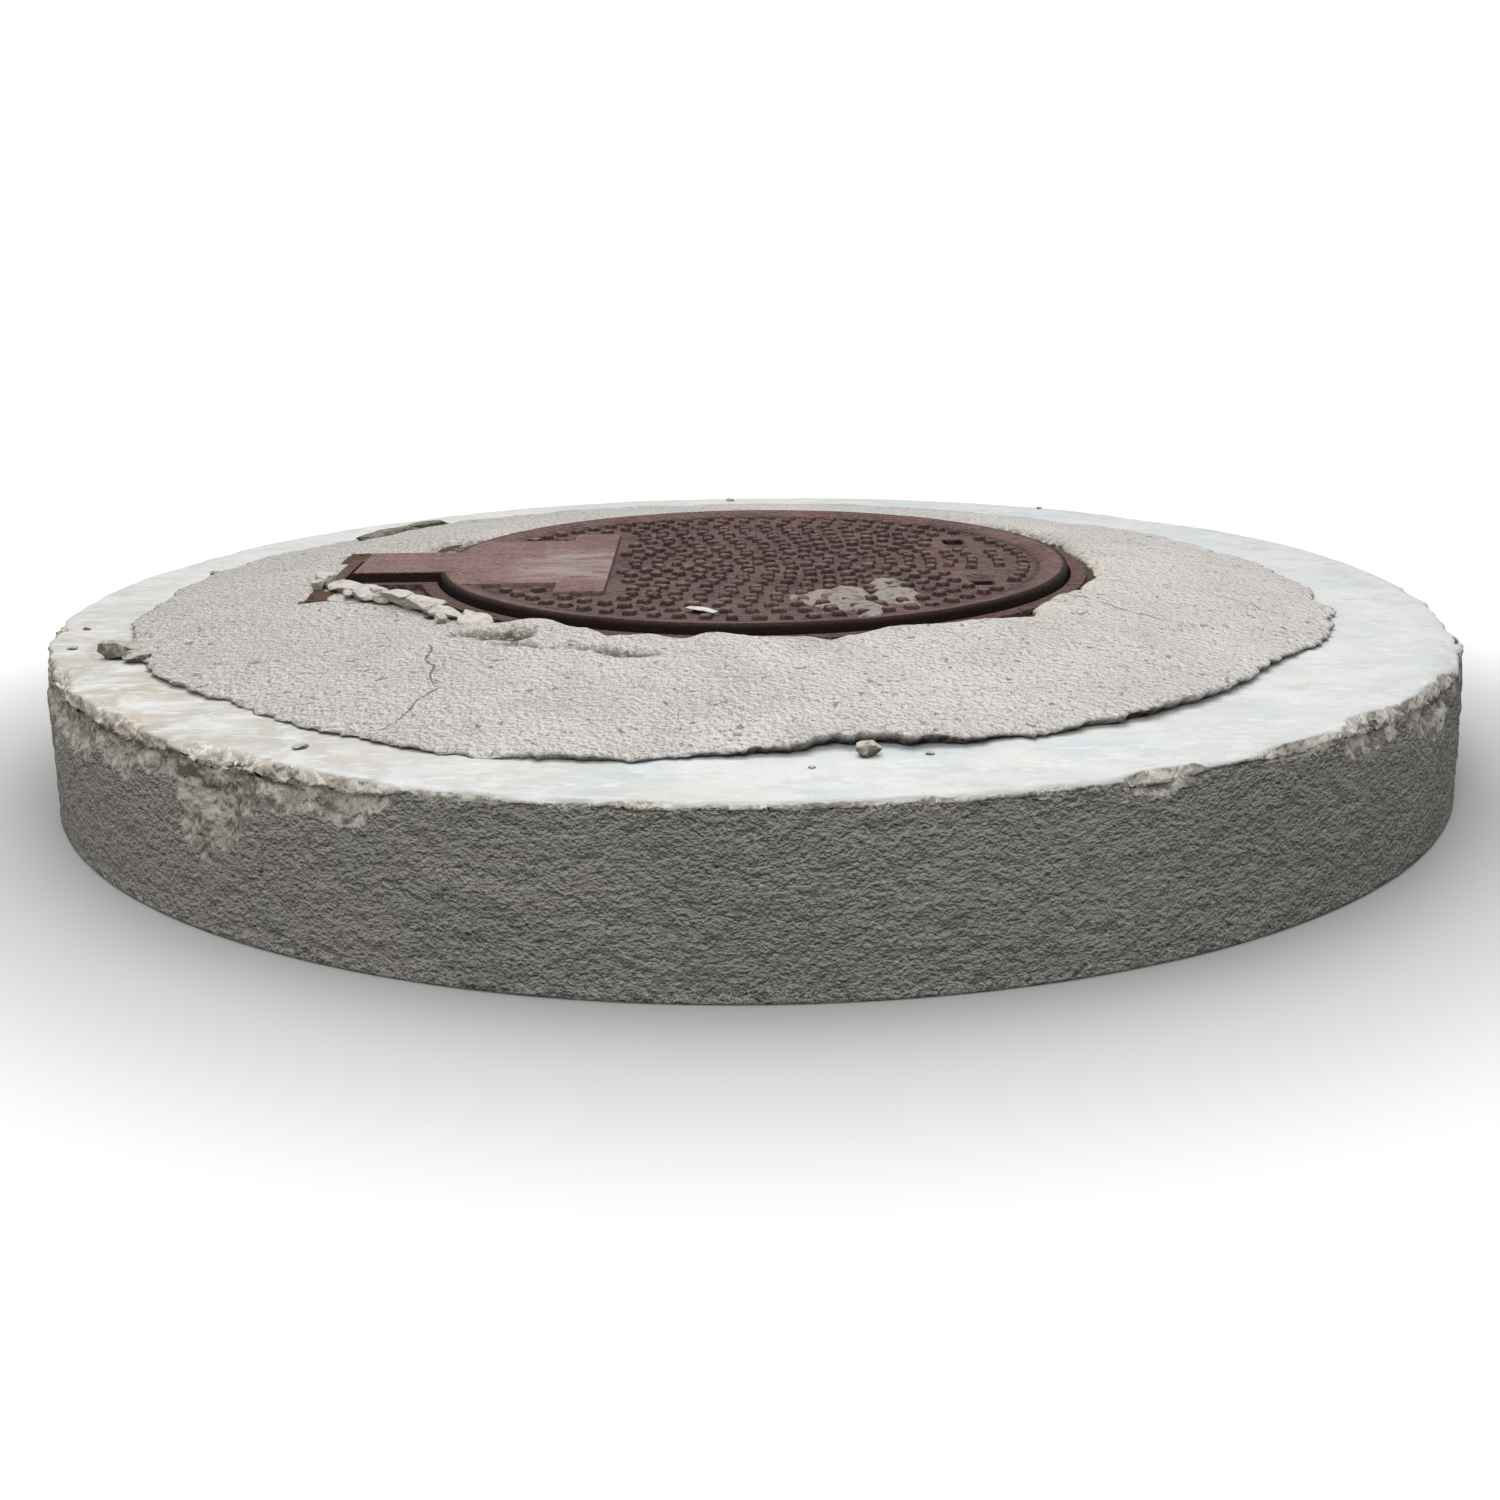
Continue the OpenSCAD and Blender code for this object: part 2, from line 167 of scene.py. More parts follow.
def grid_quads(rows, columns, closed=True):
    """Quads of a grid of rows x columns points, joined round if closed."""
    row, column = np.meshgrid(np.arange(rows - 1), np.arange(columns - (not closed)), indexing="ij")
    after = (column + 1) % columns
    near, far = row * columns, (row + 1) * columns
    quads = [near + column, near + after, far + after, far + column]
    return np.stack([q.ravel() for q in quads], axis=1)


def tube_quads(rows, columns, closed=True):
    """Quads of a grid whose last row also joins its first."""
    column = np.arange(columns - (not closed))
    after = (column + 1) % columns
    end = (rows - 1) * columns
    join = np.stack([end + column, end + after, after, column], axis=1)
    return [grid_quads(rows, columns, closed), join]


def grid_border(rows, columns):
    """Points round the edge of a grid, in order."""
    index = np.arange(rows * columns).reshape(rows, columns)
    return np.concatenate([index[0, :-1], index[:-1, -1], index[-1, :0:-1], index[:0:-1, 0]])


def flat_grid(x_range, y_range, step):
    """Points of a grid at height 0, and its rows and columns."""
    x, y = np.meshgrid(np.arange(*x_range, step), np.arange(*y_range, step), indexing="ij")
    return np.stack([x.ravel(), y.ravel(), 0 * x.ravel()], axis=1), x.shape


def at_height(points, height):
    """The same points in plan, at this height."""
    return points * np.array([1, 1, 0]) + np.array([0, 0, 1]) * np.asarray(height)[..., None]


class Shells:
    """Collects closed shells and their vertex colours into one mesh."""

    def __init__(self):
        self.points, self.colours, self.faces, self.count = [], [], [], 0

    def add(self, points, faces, colours=(0, 0, 0)):
        self.points.append(np.asarray(points, float))
        self.colours.append(np.broadcast_to(np.asarray(colours, float), (len(points), 3)))
        self.faces += [np.atleast_2d(f) + self.count for f in faces]
        self.count += len(points)

    def add_sheet(self, top, low, rows, columns, turned=False):
        """Adds a grid of top points over one of low points as a closed sheet."""
        quads = grid_quads(rows, columns, closed=False)
        border = grid_border(rows, columns)
        after = np.roll(border, -1)
        walls = np.stack([border + len(top), after + len(top), after, border], axis=1)
        faces = [quads, (quads + len(top))[:, ::-1], walls]
        self.add(np.concatenate([top, low]), [f[:, ::-1] for f in faces] if turned else faces)

    def piece(self, name, body, material, node=None, sharp=None):
        """Makes the object, rides it on its body and hides the CAD node it stands for."""
        points = np.concatenate(self.points)
        loops = np.concatenate([block.ravel() for block in self.faces])
        corners = np.concatenate([np.full(len(block), block.shape[1]) for block in self.faces])
        starts = np.cumsum(corners) - corners
        mesh = bpy.data.meshes.new(name)
        mesh.vertices.add(len(points))
        mesh.vertices.foreach_set("co", points.ravel())
        mesh.loops.add(len(loops))
        mesh.loops.foreach_set("vertex_index", loops.astype(np.int32))
        mesh.polygons.add(len(starts))
        mesh.polygons.foreach_set("loop_start", starts.astype(np.int32))
        mesh.update(calc_edges=True)
        mesh.validate()
        layer = mesh.color_attributes.new("mask", "FLOAT_COLOR", "POINT")
        rgba = np.pad(np.concatenate(self.colours), ((0, 0), (0, 1)), constant_values=1)
        layer.data.foreach_set("color", rgba.ravel())
        mesh.shade_smooth()
        if sharp is not None:
            mesh.set_sharp_from_angle(angle=math.radians(sharp))
        mesh.materials.append(material)
        made = bpy.data.objects.new(name, mesh)
        bpy.context.scene.collection.objects.link(made)
        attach(made, body)
        if node:
            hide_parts(node)


def lathe(profile, columns):
    """Points of a turned shape: one row for each (radius, height) of the profile."""
    angle = np.arange(columns) * 2 * math.pi / columns
    radius, height = np.array(profile).T[:, :, None]
    rows = [radius * np.cos(angle), radius * np.sin(angle), height + 0 * angle]
    return np.stack(rows, axis=2).reshape(-1, 3)


def stretch(start, end, step, last=False):
    """Profile points from start towards end, about step apart."""
    start, end = np.array(start, float), np.array(end, float)
    parts = max(1, round(float(np.linalg.norm(end - start)) / step))
    return [tuple(start + (end - start) * i / parts) for i in range(parts + last)]


def soft_box(low, high, step, radius):
    """Points and quads of a box with rounded edges, divided about every step."""
    low, high = np.array(low, float), np.array(high, float)
    parts = np.maximum(2, np.round((high - low) / step)).astype(int)
    points, quads, count = [], [], 0
    for axis in range(3):
        for side in (0, 1):
            first, second = (axis + 1) % 3, (axis + 2) % 3
            steps = np.linspace(0, 1, parts[first] + 1), np.linspace(0, 1, parts[second] + 1)
            u, v = np.meshgrid(*steps, indexing="ij")
            spread = np.zeros(u.shape + (3,))
            spread[..., axis] = side
            spread[..., first], spread[..., second] = u, v
            points.append((low + spread * (high - low)).reshape(-1, 3))
            block = grid_quads(*u.shape, closed=False) + count
            quads.append(block if side else block[:, ::-1])
            count += u.size
    points, quads = np.concatenate(points), np.concatenate(quads)
    micrometres = np.round(points * 1e6).astype(np.int64)
    _, keep, merged = np.unique(micrometres, axis=0, return_index=True, return_inverse=True)
    points, quads = points[keep], merged.ravel()[quads]
    core = np.clip(points, low + radius, high - radius)
    out = points - core
    length = np.maximum(np.linalg.norm(out, axis=1, keepdims=True), 1e-9)
    return core + out / length * np.minimum(length, radius), quads


def mesh_arrays(mould):
    """Points and faces of a bmesh whose faces all have as many corners; the bmesh is freed."""
    mould.verts.ensure_lookup_table()
    points = np.array([v.co[:] for v in mould.verts])
    faces = np.array([[v.index for v in f.verts] for f in mould.faces])
    mould.free()
    return points, faces


def rock(size, seed, yaw=0.0):
    """Points and faces of one broken stone of about that size (x, y, z), turned by yaw degrees."""
    ball = bmesh.new()
    bmesh.ops.create_icosphere(ball, subdivisions=4, radius=0.5)
    points, faces = mesh_arrays(ball)
    random = np.random.default_rng(seed)
    for _ in range(16):
        facing = random.normal(0, 1, 3)
        facing /= np.linalg.norm(facing)
        over = np.maximum(points @ facing - random.uniform(0.30, 0.42), 0)
        points = points - over[:, None] * facing
    points = points * (1 + 0.10 * fbm(points + seed * 3.1, 0.30, 4, seed))[:, None]
    points = points / np.ptp(points, axis=0) * np.array(size)
    turn = np.array(Matrix.Rotation(math.radians(yaw), 3, "Z"))
    return points @ turn.T, faces


# ---------- materials ----------

class Material:
    """A node material with short calls for its parts. A value may be a number, a colour or a socket."""

    def __init__(self, name):
        self.material = bpy.data.materials.new(name)
        self.material.use_nodes = True
        self.tree = self.material.node_tree
        self.shader = self.tree.nodes["Principled BSDF"]
        self.place = self.node("ShaderNodeTexCoord").outputs["Object"]

    def node(self, kind, **settings):
        made = self.tree.nodes.new(kind)
        for key, value in settings.items():
            setattr(made, key, value)
        return made

    def put(self, socket, value):
        if isinstance(value, bpy.types.NodeSocket):
            self.tree.links.new(value, socket)
        elif isinstance(value, tuple):
            socket.default_value = (*value, 1)[:len(socket.default_value)]
        else:
            socket.default_value = value

    def make(self, kind, output, inputs, **settings):
        """A node with these inputs, given by name or number, and the output that is wanted."""
        made = self.node(kind, **settings)
        for key, value in inputs.items():
            self.put(made.inputs[key], value)
        return made.outputs[output]

    def stretched(self, x, y, z, shift=(0, 0, 0)):
        """Places scaled along each axis, then moved by shift."""
        inputs = {"Vector": self.place, "Scale": (x, y, z), "Location": shift}
        return self.make("ShaderNodeMapping", "Vector", inputs)

    def noise(self, size, detail=4, rough=0.55, place=None, warp=0.0):
        """Noise from 0 to 1 whose lumps are size metres across."""
        inputs = {"Vector": place or self.place, "Scale": 1 / size, "Detail": detail,
                  "Roughness": rough, "Distortion": warp}
        return self.make("ShaderNodeTexNoise", "Fac", inputs)

    def step(self, value, low, high):
        """0 below low, 1 above high."""
        inputs = {"Value": value, "From Min": low, "From Max": high}
        return self.make("ShaderNodeMapRange", "Result", inputs, interpolation_type="SMOOTHSTEP")

    def patches(self, low, high, size, *look, **more):
        """Noise as patches: 0 where it is below low, 1 above high."""
        return self.step(self.noise(size, *look, **more), low, high)

    def painted_relief_light(self, size, scale, shift, spread=0.10, rough=0.62):
        """Painted light and shade for a noise relief: 1 on faces turned against shift, painted as lit, 0 on
        those turned along it, painted as shaded.
        """
        here = self.noise(size, 5, rough, self.stretched(*scale))
        there = self.noise(size, 5, rough, self.stretched(*scale, shift))
        return self.step(self.math("SUBTRACT", here, there), -spread, spread)

    def math(self, operation, a, b=0.0):
        return self.make("ShaderNodeMath", 0, {0: a, 1: b}, operation=operation)

    def mix(self, share, a, b):
        inputs = {"Factor": share, "A": a, "B": b}
        return self.make("ShaderNodeMix", "Result", inputs, data_type="RGBA")

    def tint(self, colour, tone, share, strength=1.0):
        """The colour moved towards tone by share times strength."""
        return self.mix(self.math("MULTIPLY", share, strength), colour, tone)

    def place_x(self):
        """Distance to the right of the cover's centre, in metres."""
        return self.make("ShaderNodeSeparateXYZ", "X", {0: self.place})

    def mask(self):
        """The three channels of the mesh's own mask colour."""
        made = self.node("ShaderNodeSeparateColor")
        attribute = self.node("ShaderNodeAttribute", attribute_name="mask")
        self.put(made.inputs["Color"], attribute.outputs["Color"])
        return made.outputs["Red"], made.outputs["Green"], made.outputs["Blue"]

    def up(self):
        """How far the true surface faces up, from -1 to 1."""
        normal = self.node("ShaderNodeNewGeometry").outputs["Normal"]
        return self.make("ShaderNodeSeparateXYZ", "Z", {0: normal})

    def bump(self, height, depth, below=None):
        """Relief of depth metres, laid over an earlier one."""
        inputs = {"Distance": depth, "Strength": 1.0, "Height": height}
        if below is not None:
            inputs["Normal"] = below
        return self.make("ShaderNodeBump", "Normal", inputs)

    def finish(self, colour, roughness, normal=None, metallic=0.0, specular=0.5):
        inputs = {"Base Color": colour, "Roughness": roughness, "Metallic": metallic,
                  "Specular IOR Level": specular, "Normal": normal}
        for name, value in inputs.items():
            if value is not None:
                self.put(self.shader.inputs[name], value)
        return self.material


def rgb(red, green, blue, light=1.0):
    """The surface colour that looks like this, 0 to 255, under that much light."""
    linear = [((c / 255 + 0.055) / 1.055) ** 2.4 if c > 10 else c / 255 / 12.92 for c in (red, green, blue)]
    return tuple(min(c / light, 0.95) for c in linear)


def on_top(red, green, blue):
    """The colour of a face that looks up at the lamp and the sky."""
    return rgb(red, green, blue, TOP_LIGHT)


def on_side(red, green, blue):
    """The colour of an upright face."""
    return rgb(red, green, blue, SIDE_LIGHT)


def concrete_material():
    """Rough dark cast side, whitewashed top, pale broken edge. Mask: red top, green broken, blue stain."""
    m = Material("slab concrete")
    top, broken, stain = m.mask()
    fine = m.noise(3 * MM, 5, 0.65)
    grain = m.noise(9 * MM, 5, 0.62, m.stretched(1, 1, 1.7))

    side = m.mix(m.patches(0.36, 0.66, 120 * MM, 4, 0.6), on_side(98, 99, 94), on_side(116, 113, 107))
    side = m.tint(side, on_side(134, 127, 120), stain, 0.7)
    # Painted light and shade of the side's grain, as if lit from above: dark under each grain, light on its
    # top
    painted_grain_shade = m.painted_relief_light(6 * MM, (1, 1, 1.3), (0, 0, 1.2 * MM), 0.10, 0.78)
    side = m.tint(side, on_side(35, 35, 33), m.step(painted_grain_shade, 0.50, 0.0), 0.94)
    side = m.tint(side, on_side(162, 160, 154), m.step(painted_grain_shade, 0.50, 1.0), 0.84)
    # Painted light and shade of the larger lumps, as if lit from above
    lumps = m.painted_relief_light(21 * MM, (1, 1, 1.25), (0, 0, 3.2 * MM), 0.10)
    side = m.tint(side, on_side(58, 57, 53), m.step(lumps, 0.4, 0.0), 0.50)
    side = m.tint(side, on_side(140, 138, 132), m.step(lumps, 0.6, 1.0), 0.25)
    # Painted shade: dark spots that stand for the shadow inside pits and pocks of the cast side
    pit = m.patches(0.32, 0.27, 12 * MM, 4, 0.6, m.stretched(1, 1, 1.8))
    side = m.tint(side, on_side(34, 33, 30), pit, 0.85)
    pock = m.patches(0.38, 0.31, 6 * MM, 4, 0.65, m.stretched(1, 1, 1.7, (1, 2, 3)))
    side = m.tint(side, on_side(38, 37, 34), pock, 0.75)
    side = m.tint(side, on_side(168, 165, 157), m.step(fine, 0.57, 0.66), 0.35)

    drift = m.patches(0.34, 0.70, 70 * MM, 5, 0.62, m.stretched(1, 1, 4), warp=0.6)
    paint = m.mix(drift, on_top(222, 226, 226), on_top(236, 237, 234))
    paint = m.tint(paint, on_top(208, 222, 229), m.patches(0.50, 0.70, 150 * MM, 3, 0.5), 0.65)
    dirt = m.math("MULTIPLY", stain, m.patches(0.34, 0.62, 60 * MM, 6, 0.7, warp=0.8))
    paint = m.tint(paint, on_top(190, 178, 160), dirt, 0.8)
    smudge = m.patches(0.50, 0.70, 22 * MM, 6, 0.72, m.stretched(0.6, 1, 1), warp=0.5)
    paint = m.tint(paint, on_top(200, 199, 193), smudge, 0.55)
    brushed = m.patches(0.52, 0.66, 9 * MM, 5, 0.7, m.stretched(0.4, 1, 1))
    paint = m.tint(paint, on_top(248, 249, 248), brushed, 0.50)
    paint = m.tint(paint, on_top(168, 164, 156), m.patches(0.60, 0.70, 2.5 * MM, 3, 0.7), 0.35)

    patch = m.patches(0.40, 0.62, 45 * MM, 4, 0.6)
    upright = m.mix(patch, on_side(118, 114, 108), on_side(170, 166, 159))
    upright = m.tint(upright, on_side(132, 121, 110), stain, 0.5)
    grey_flat = m.mix(patch, on_top(146, 142, 135), on_top(196, 193, 186))
    stained_flat = m.mix(patch, on_top(190, 180, 166), on_top(228, 222, 212))
    flat = m.mix(m.step(stain, 0.2, 0.6), grey_flat, stained_flat)
    bare = m.mix(m.step(m.up(), 0.15, 0.75), upright, flat)
    # Painted light and shade of the broken surface, as if lit from above; depth makes the painted shade
    # stronger on upright faces
    torn = m.painted_relief_light(20 * MM, (1, 1, 1), (0, 0, 3.5 * MM), 0.12, 0.66)
    depth = m.mix(m.step(m.up(), 0.3, 0.8), (0.80,) * 3, (0.40,) * 3)
    bare = m.tint(bare, on_side(66, 60, 54), m.step(torn, 0.45, 0.0), depth)
    bare = m.tint(bare, on_side(204, 197, 187), m.step(torn, 0.60, 1.0), 0.45)

    frayed = m.math("MULTIPLY", m.math("SUBTRACT", m.noise(10 * MM, 5, 0.7), 0.5), 1.1)
    edge = m.step(m.math("ADD", broken, frayed), 0.28, 0.50)
    colour = m.mix(edge, m.mix(top, side, paint), bare)
    under_paint = m.math("SUBTRACT", 1.0, m.math("MULTIPLY", top, 0.94))
    relief = m.bump(m.math("MULTIPLY", grain, under_paint), 9 * MM)
    relief = m.bump(m.math("MULTIPLY", fine, m.math("ADD", under_paint, 0.25)), 2.2 * MM, relief)
    return m.finish(colour, m.mix(top, (0.92,) * 3, (0.75,) * 3), relief, specular=0.25)


# Hairline cracks of the haunch in plan, start and end of each
CRACKS = [
    ((-0.286, -0.344), (-0.263, -0.452)),
    ((-0.263, -0.450), (-0.305, -0.552)),
    ((0.280, -0.178), (0.378, -0.270)),
    ((0.345, -0.100), (0.445, -0.146)),
    ((0.440, -0.140), (0.505, -0.215)),
    ((0.378, 0.260), (0.442, 0.227)),
    ((0.400, 0.138), (0.465, 0.134)),
    ((-0.060, 0.400), (-0.020, 0.560)),
]
CRACK_WIDTH = 1.2 * MM
CRACK_WANDER = 30 * MM


def crack_line(m, start, end):
    """1 along a wandering crack from start to end, in plan."""
    start, end = Vector(start).to_3d(), Vector(end).to_3d()
    along = (end - start).normalized()
    across = Vector((-along.y, along.x, 0))
    noise = {"Vector": m.place, "Scale": 22, "Detail": 6, "Roughness": 0.6}
    wander = m.make("ShaderNodeTexNoise", "Color", noise)
    shift = {0: wander, 1: (CRACK_WANDER,) * 3, 2: m.place}
    shifted = m.make("ShaderNodeVectorMath", 0, shift, operation="MULTIPLY_ADD")
    origin = tuple(start + Vector((CRACK_WANDER / 2,) * 3))
    offset = m.make("ShaderNodeVectorMath", 0, {0: shifted, 1: origin}, operation="SUBTRACT")
    far, run = [m.make("ShaderNodeVectorMath", "Value", {0: offset, 1: tuple(way)}, operation="DOT_PRODUCT")
                for way in (across, along)]
    near = m.step(m.math("ABSOLUTE", far), CRACK_WIDTH, CRACK_WIDTH * 0.3)
    length = (end - start).length
    inside = m.math("MULTIPLY", m.step(run, -4 * MM, 4 * MM),
                    m.step(run, length + 4 * MM, length - 20 * MM))
    return m.math("MULTIPLY", m.math("MULTIPLY", near, inside), m.patches(0.34, 0.50, 30 * MM, 3, 0.6))


def haunch_material():
    """Floated mortar, speckled. Mask: red painted shade on the broken and hidden faces and in the hole,
    green yellow bedding, blue moss and dirt.
    """
    m = Material("haunch mortar")
    dark, yellow, moss = m.mask()
    fine = m.noise(3.2 * MM, 5, 0.7)
    grain = m.noise(7 * MM, 4, 0.62)
    cloud = m.patches(0.34, 0.66, 90 * MM, 5, 0.6, warp=0.4)
    colour = m.mix(cloud, on_top(203, 198, 194), on_top(220, 217, 213))
    colour = m.tint(colour, on_top(207, 196, 188), m.patches(0.50, 0.68, 150 * MM, 4, 0.6), 0.5)
    grey = m.patches(0.52, 0.70, 60 * MM, 5, 0.65, warp=0.5)
    colour = m.tint(colour, on_top(182, 177, 172), grey, 0.45)
    colour = m.tint(colour, on_top(184, 177, 171), m.step(m.place_x(), 0.05, -0.45), 0.45)
    # Painted light: the right part is painted lighter, where the key lamp from the front left falls weaker
    colour = m.tint(colour, on_top(236, 233, 230), m.step(m.place_x(), 0.15, 0.50), 0.40)
    # Painted light and shade of the sand grains, as if lit from one side across the top
    painted_sand_shade = m.painted_relief_light(5 * MM, (1, 1, 1), (-1.1 * MM, -1.3 * MM, 0), 0.13, 0.70)
    colour = m.tint(colour, on_top(136, 130, 125), m.step(painted_sand_shade, 0.50, 0.0), 0.55)
    colour = m.tint(colour, on_top(244, 242, 239), m.step(painted_sand_shade, 0.52, 1.0), 0.55)
    colour = m.tint(colour, on_top(116, 111, 107), m.patches(0.59, 0.64, 4.2 * MM, 3, 0.6), 0.65)
    trowelled = m.patches(0.56, 0.70, 30 * MM, 5, 0.7, m.stretched(0.5, 1.4, 1))
    colour = m.tint(colour, on_top(174, 168, 163), trowelled, 0.30)
    # Painted shade: the pits, which the relief below sinks, are painted darker
    pit = m.patches(0.63, 0.69, 12 * MM, 4, 0.65)
    colour = m.tint(colour, on_top(120, 115, 110), pit, 0.7)
    colour = m.tint(colour, on_top(228, 218, 196), yellow, m.patches(0.34, 0.62, 25 * MM, 5, 0.6))
    colour = m.tint(colour, on_top(80, 78, 66), moss, m.patches(0.34, 0.52, 7 * MM, 5, 0.72))
    # Painted shade: where the red mask lies, the mortar takes a dark rough colour
    colour = m.mix(dark, colour, m.mix(m.step(grain, 0.38, 0.64), on_side(20, 18, 16), on_side(82, 77, 70)))
    lines = crack_line(m, *CRACKS[0])
    for crack in CRACKS[1:]:
        lines = m.math("MAXIMUM", lines, crack_line(m, *crack))
    colour = m.tint(colour, on_top(84, 78, 73), lines, 0.7)
    relief = m.bump(grain, 2.2 * MM)
    relief = m.bump(fine, 1.0 * MM, relief)
    relief = m.bump(m.math("SUBTRACT", 1.0, m.math("MAXIMUM", pit, lines)), 1.2 * MM, relief)
    return m.finish(colour, 0.9, relief, specular=0.25)


def iron_material(name, face, low, edge_shade, dusty):
    """Rust-brown casting. Mask: red worn top faces, green shade of hollows, blue dust."""
    m = Material(name)
    worn, shade, dust = m.mask()
    skin = m.noise(5 * MM, 5, 0.65)
    fine = m.noise(1.8 * MM, 4, 0.7)
    colour = m.mix(m.patches(0.34, 0.64, 55 * MM, 5, 0.62, warp=0.5), low, m.mix(0.30, low, face))
    worn_face = m.mix(m.patches(0.34, 0.66, 26 * MM, 5, 0.65), m.mix(0.30, face, low), face)
    colour = m.mix(worn, colour, worn_face)
    colour = m.tint(colour, on_top(112, 70, 60), m.patches(0.50, 0.66, 34 * MM, 4, 0.7, warp=0.7), 0.45)
    colour = m.tint(colour, edge_shade, m.step(skin, 0.54, 0.36), 0.55)
    # Painted highlight: one side of each lump of the casting skin's relief is painted lighter
    scale = m.painted_relief_light(6 * MM, (1, 1, 1), (0, -1.6 * MM, 0), 0.12)
    colour = m.tint(colour, m.mix(0.5, face, (0.5, 0.42, 0.40)), m.step(scale, 0.60, 1.0), 0.30)
    smear = m.patches(0.32, 0.62, 24 * MM, 6, 0.66, m.stretched(0.35, 1, 1), warp=0.3)
    colour = m.tint(colour, on_top(178, 166, 164), m.math("MULTIPLY", dust, smear), dusty)
    colour = m.mix(shade, colour, edge_shade)
    relief = m.bump(fine, 0.35 * MM, m.bump(skin, 1.0 * MM))
    rough = m.mix(m.step(skin, 0.35, 0.7), (0.80,) * 3, (0.58,) * 3)
    return m.finish(colour, rough, relief, specular=0.18)


def plain_stone_material(name, dark, light, size, relief_depth):
    """Speckled mortar or stone with two shades, and painted light that makes faces looking up lighter."""
    m = Material(name)
    coarse = m.noise(size, 5, 0.65)
    fine = m.noise(size / 4, 4, 0.7)
    # Painted light: faces that look up in the world are painted lighter, on top of the speckle noise
    lit = m.math("ADD", m.math("MULTIPLY", m.up(), 0.22), m.math("SUBTRACT", coarse, 0.10))
    colour = m.mix(m.step(lit, 0.32, 0.68), dark, light)
    colour = m.tint(colour, dark, m.step(fine, 0.60, 0.72), 0.4)
    relief = m.bump(fine, relief_depth * 0.5, m.bump(coarse, relief_depth))
    return m.finish(colour, 0.92, relief, specular=0.25)


def steel_material(name, bright, dull, roughness, metallic, relief_depth=0.2 * MM):
    """Steel with a patchy coat of zinc, scale or rust."""
    m = Material(name)
    patch = m.noise(12 * MM, 5, 0.6)
    colour = m.mix(m.step(patch, 0.35, 0.65), dull, bright)
    rough = m.mix(m.step(patch, 0.3, 0.7), (roughness + 0.12,) * 3, (roughness,) * 3)
    return m.finish(colour, rough, m.bump(m.noise(2 * MM, 4, 0.6), relief_depth), metallic)


def soft_material(name, base, shade, roughness):
    """Rubber or moulded plastic with a fine grain and some dirt."""
    m = Material(name)
    dirt = m.patches(0.45, 0.72, 20 * MM, 5, 0.65)
    return m.finish(m.mix(dirt, base, shade), roughness, m.bump(m.noise(1.5 * MM, 3, 0.6), 0.15 * MM))


IRON_FACE = on_top(154, 117, 111)
IRON_LOW = on_top(56, 39, 36)
IRON_DARK = on_top(36, 17, 17)
concrete = concrete_material()
haunch_mortar = haunch_material()
iron = iron_material("lid iron", IRON_FACE, IRON_LOW, IRON_DARK, 0.75)
frame_iron = iron_material("frame iron", on_top(118, 92, 84), on_top(88, 66, 60), IRON_DARK, 0.3)
splash_mortar = plain_stone_material(
    "splash mortar", on_top(70, 61, 57), on_top(170, 160, 153), 11 * MM, 2.2 * MM)
pale_mortar = plain_stone_material(
    "pale mortar", on_top(176, 170, 159), on_top(231, 226, 217), 9 * MM, 2.2 * MM)
dark_mortar = plain_stone_material(
    "old mortar", on_side(52, 50, 45), on_side(104, 100, 91), 12 * MM, 1.6 * MM)
pebble_stone = plain_stone_material(
    "pebble stone", on_top(112, 103, 93), on_top(208, 202, 192), 10 * MM, 1.4 * MM)
soil = plain_stone_material(
    "soil and moss", on_top(44, 32, 28), on_top(98, 76, 63), 12 * MM, 2.0 * MM)
flake_paint = plain_stone_material(
    "lime flake", on_top(176, 172, 168), on_top(226, 224, 221), 8 * MM, 0.5 * MM)
bed_mortar = plain_stone_material(
    "bed mortar", rgb(122, 118, 112), rgb(168, 164, 157), 10 * MM, 1.0 * MM)
zinc = steel_material("galvanised steel", rgb(176, 178, 178), rgb(128, 128, 126), 0.42, 0.9)
bar_steel = steel_material("bar steel", rgb(122, 92, 74), rgb(80, 62, 54), 0.6, 0.6, 0.6 * MM)
rubber = soft_material("gasket rubber", rgb(34, 33, 33), rgb(78, 70, 64), 0.75)
plug_plastic = soft_material("plug plastic", rgb(214, 118, 44), rgb(150, 92, 52), 0.5)


# ---------- slab ----------

SLAB_COLUMNS = 1080
OPENING_R = 0.310
STEP_R = 0.452
# The slab's top needs no fine mesh inside this radius, where the haunch covers it
HAUNCH_COVER_R = 0.545
# Width of the finely divided band on either side of the slab's top edge
EDGE_BAND = 24 * MM
# Places where that edge has broken off: angle, half width, then reach down and inwards in millimetres
SPALLS = [
    (199, 5, 38, 9),
    (206, 6, 78, 18),
    (214, 5, 60, 12),
    (221, 4, 52, 18),
    (227, 3.5, 34, 9),
    (233, 4.3, 80, 25),
    (239.5, 3.5, 36, 12),
    (245.5, 3.5, 42, 10),
    (252, 5, 9, 5),
    (294, 4, 20, 14),
    (305, 5, 12, 8),
    (314, 5, 34, 22),
    (323, 7, 48, 14),
    (335, 6, 22, 8),
    (347, 8, 30, 15),
    (3, 17, 22, 9),
    (41, 8, 34, 16),
    (68, 5, 18, 10),
    (97, 7, 30, 14),
    (128, 6, 22, 12),
    (160, 7, 30, 14),
]


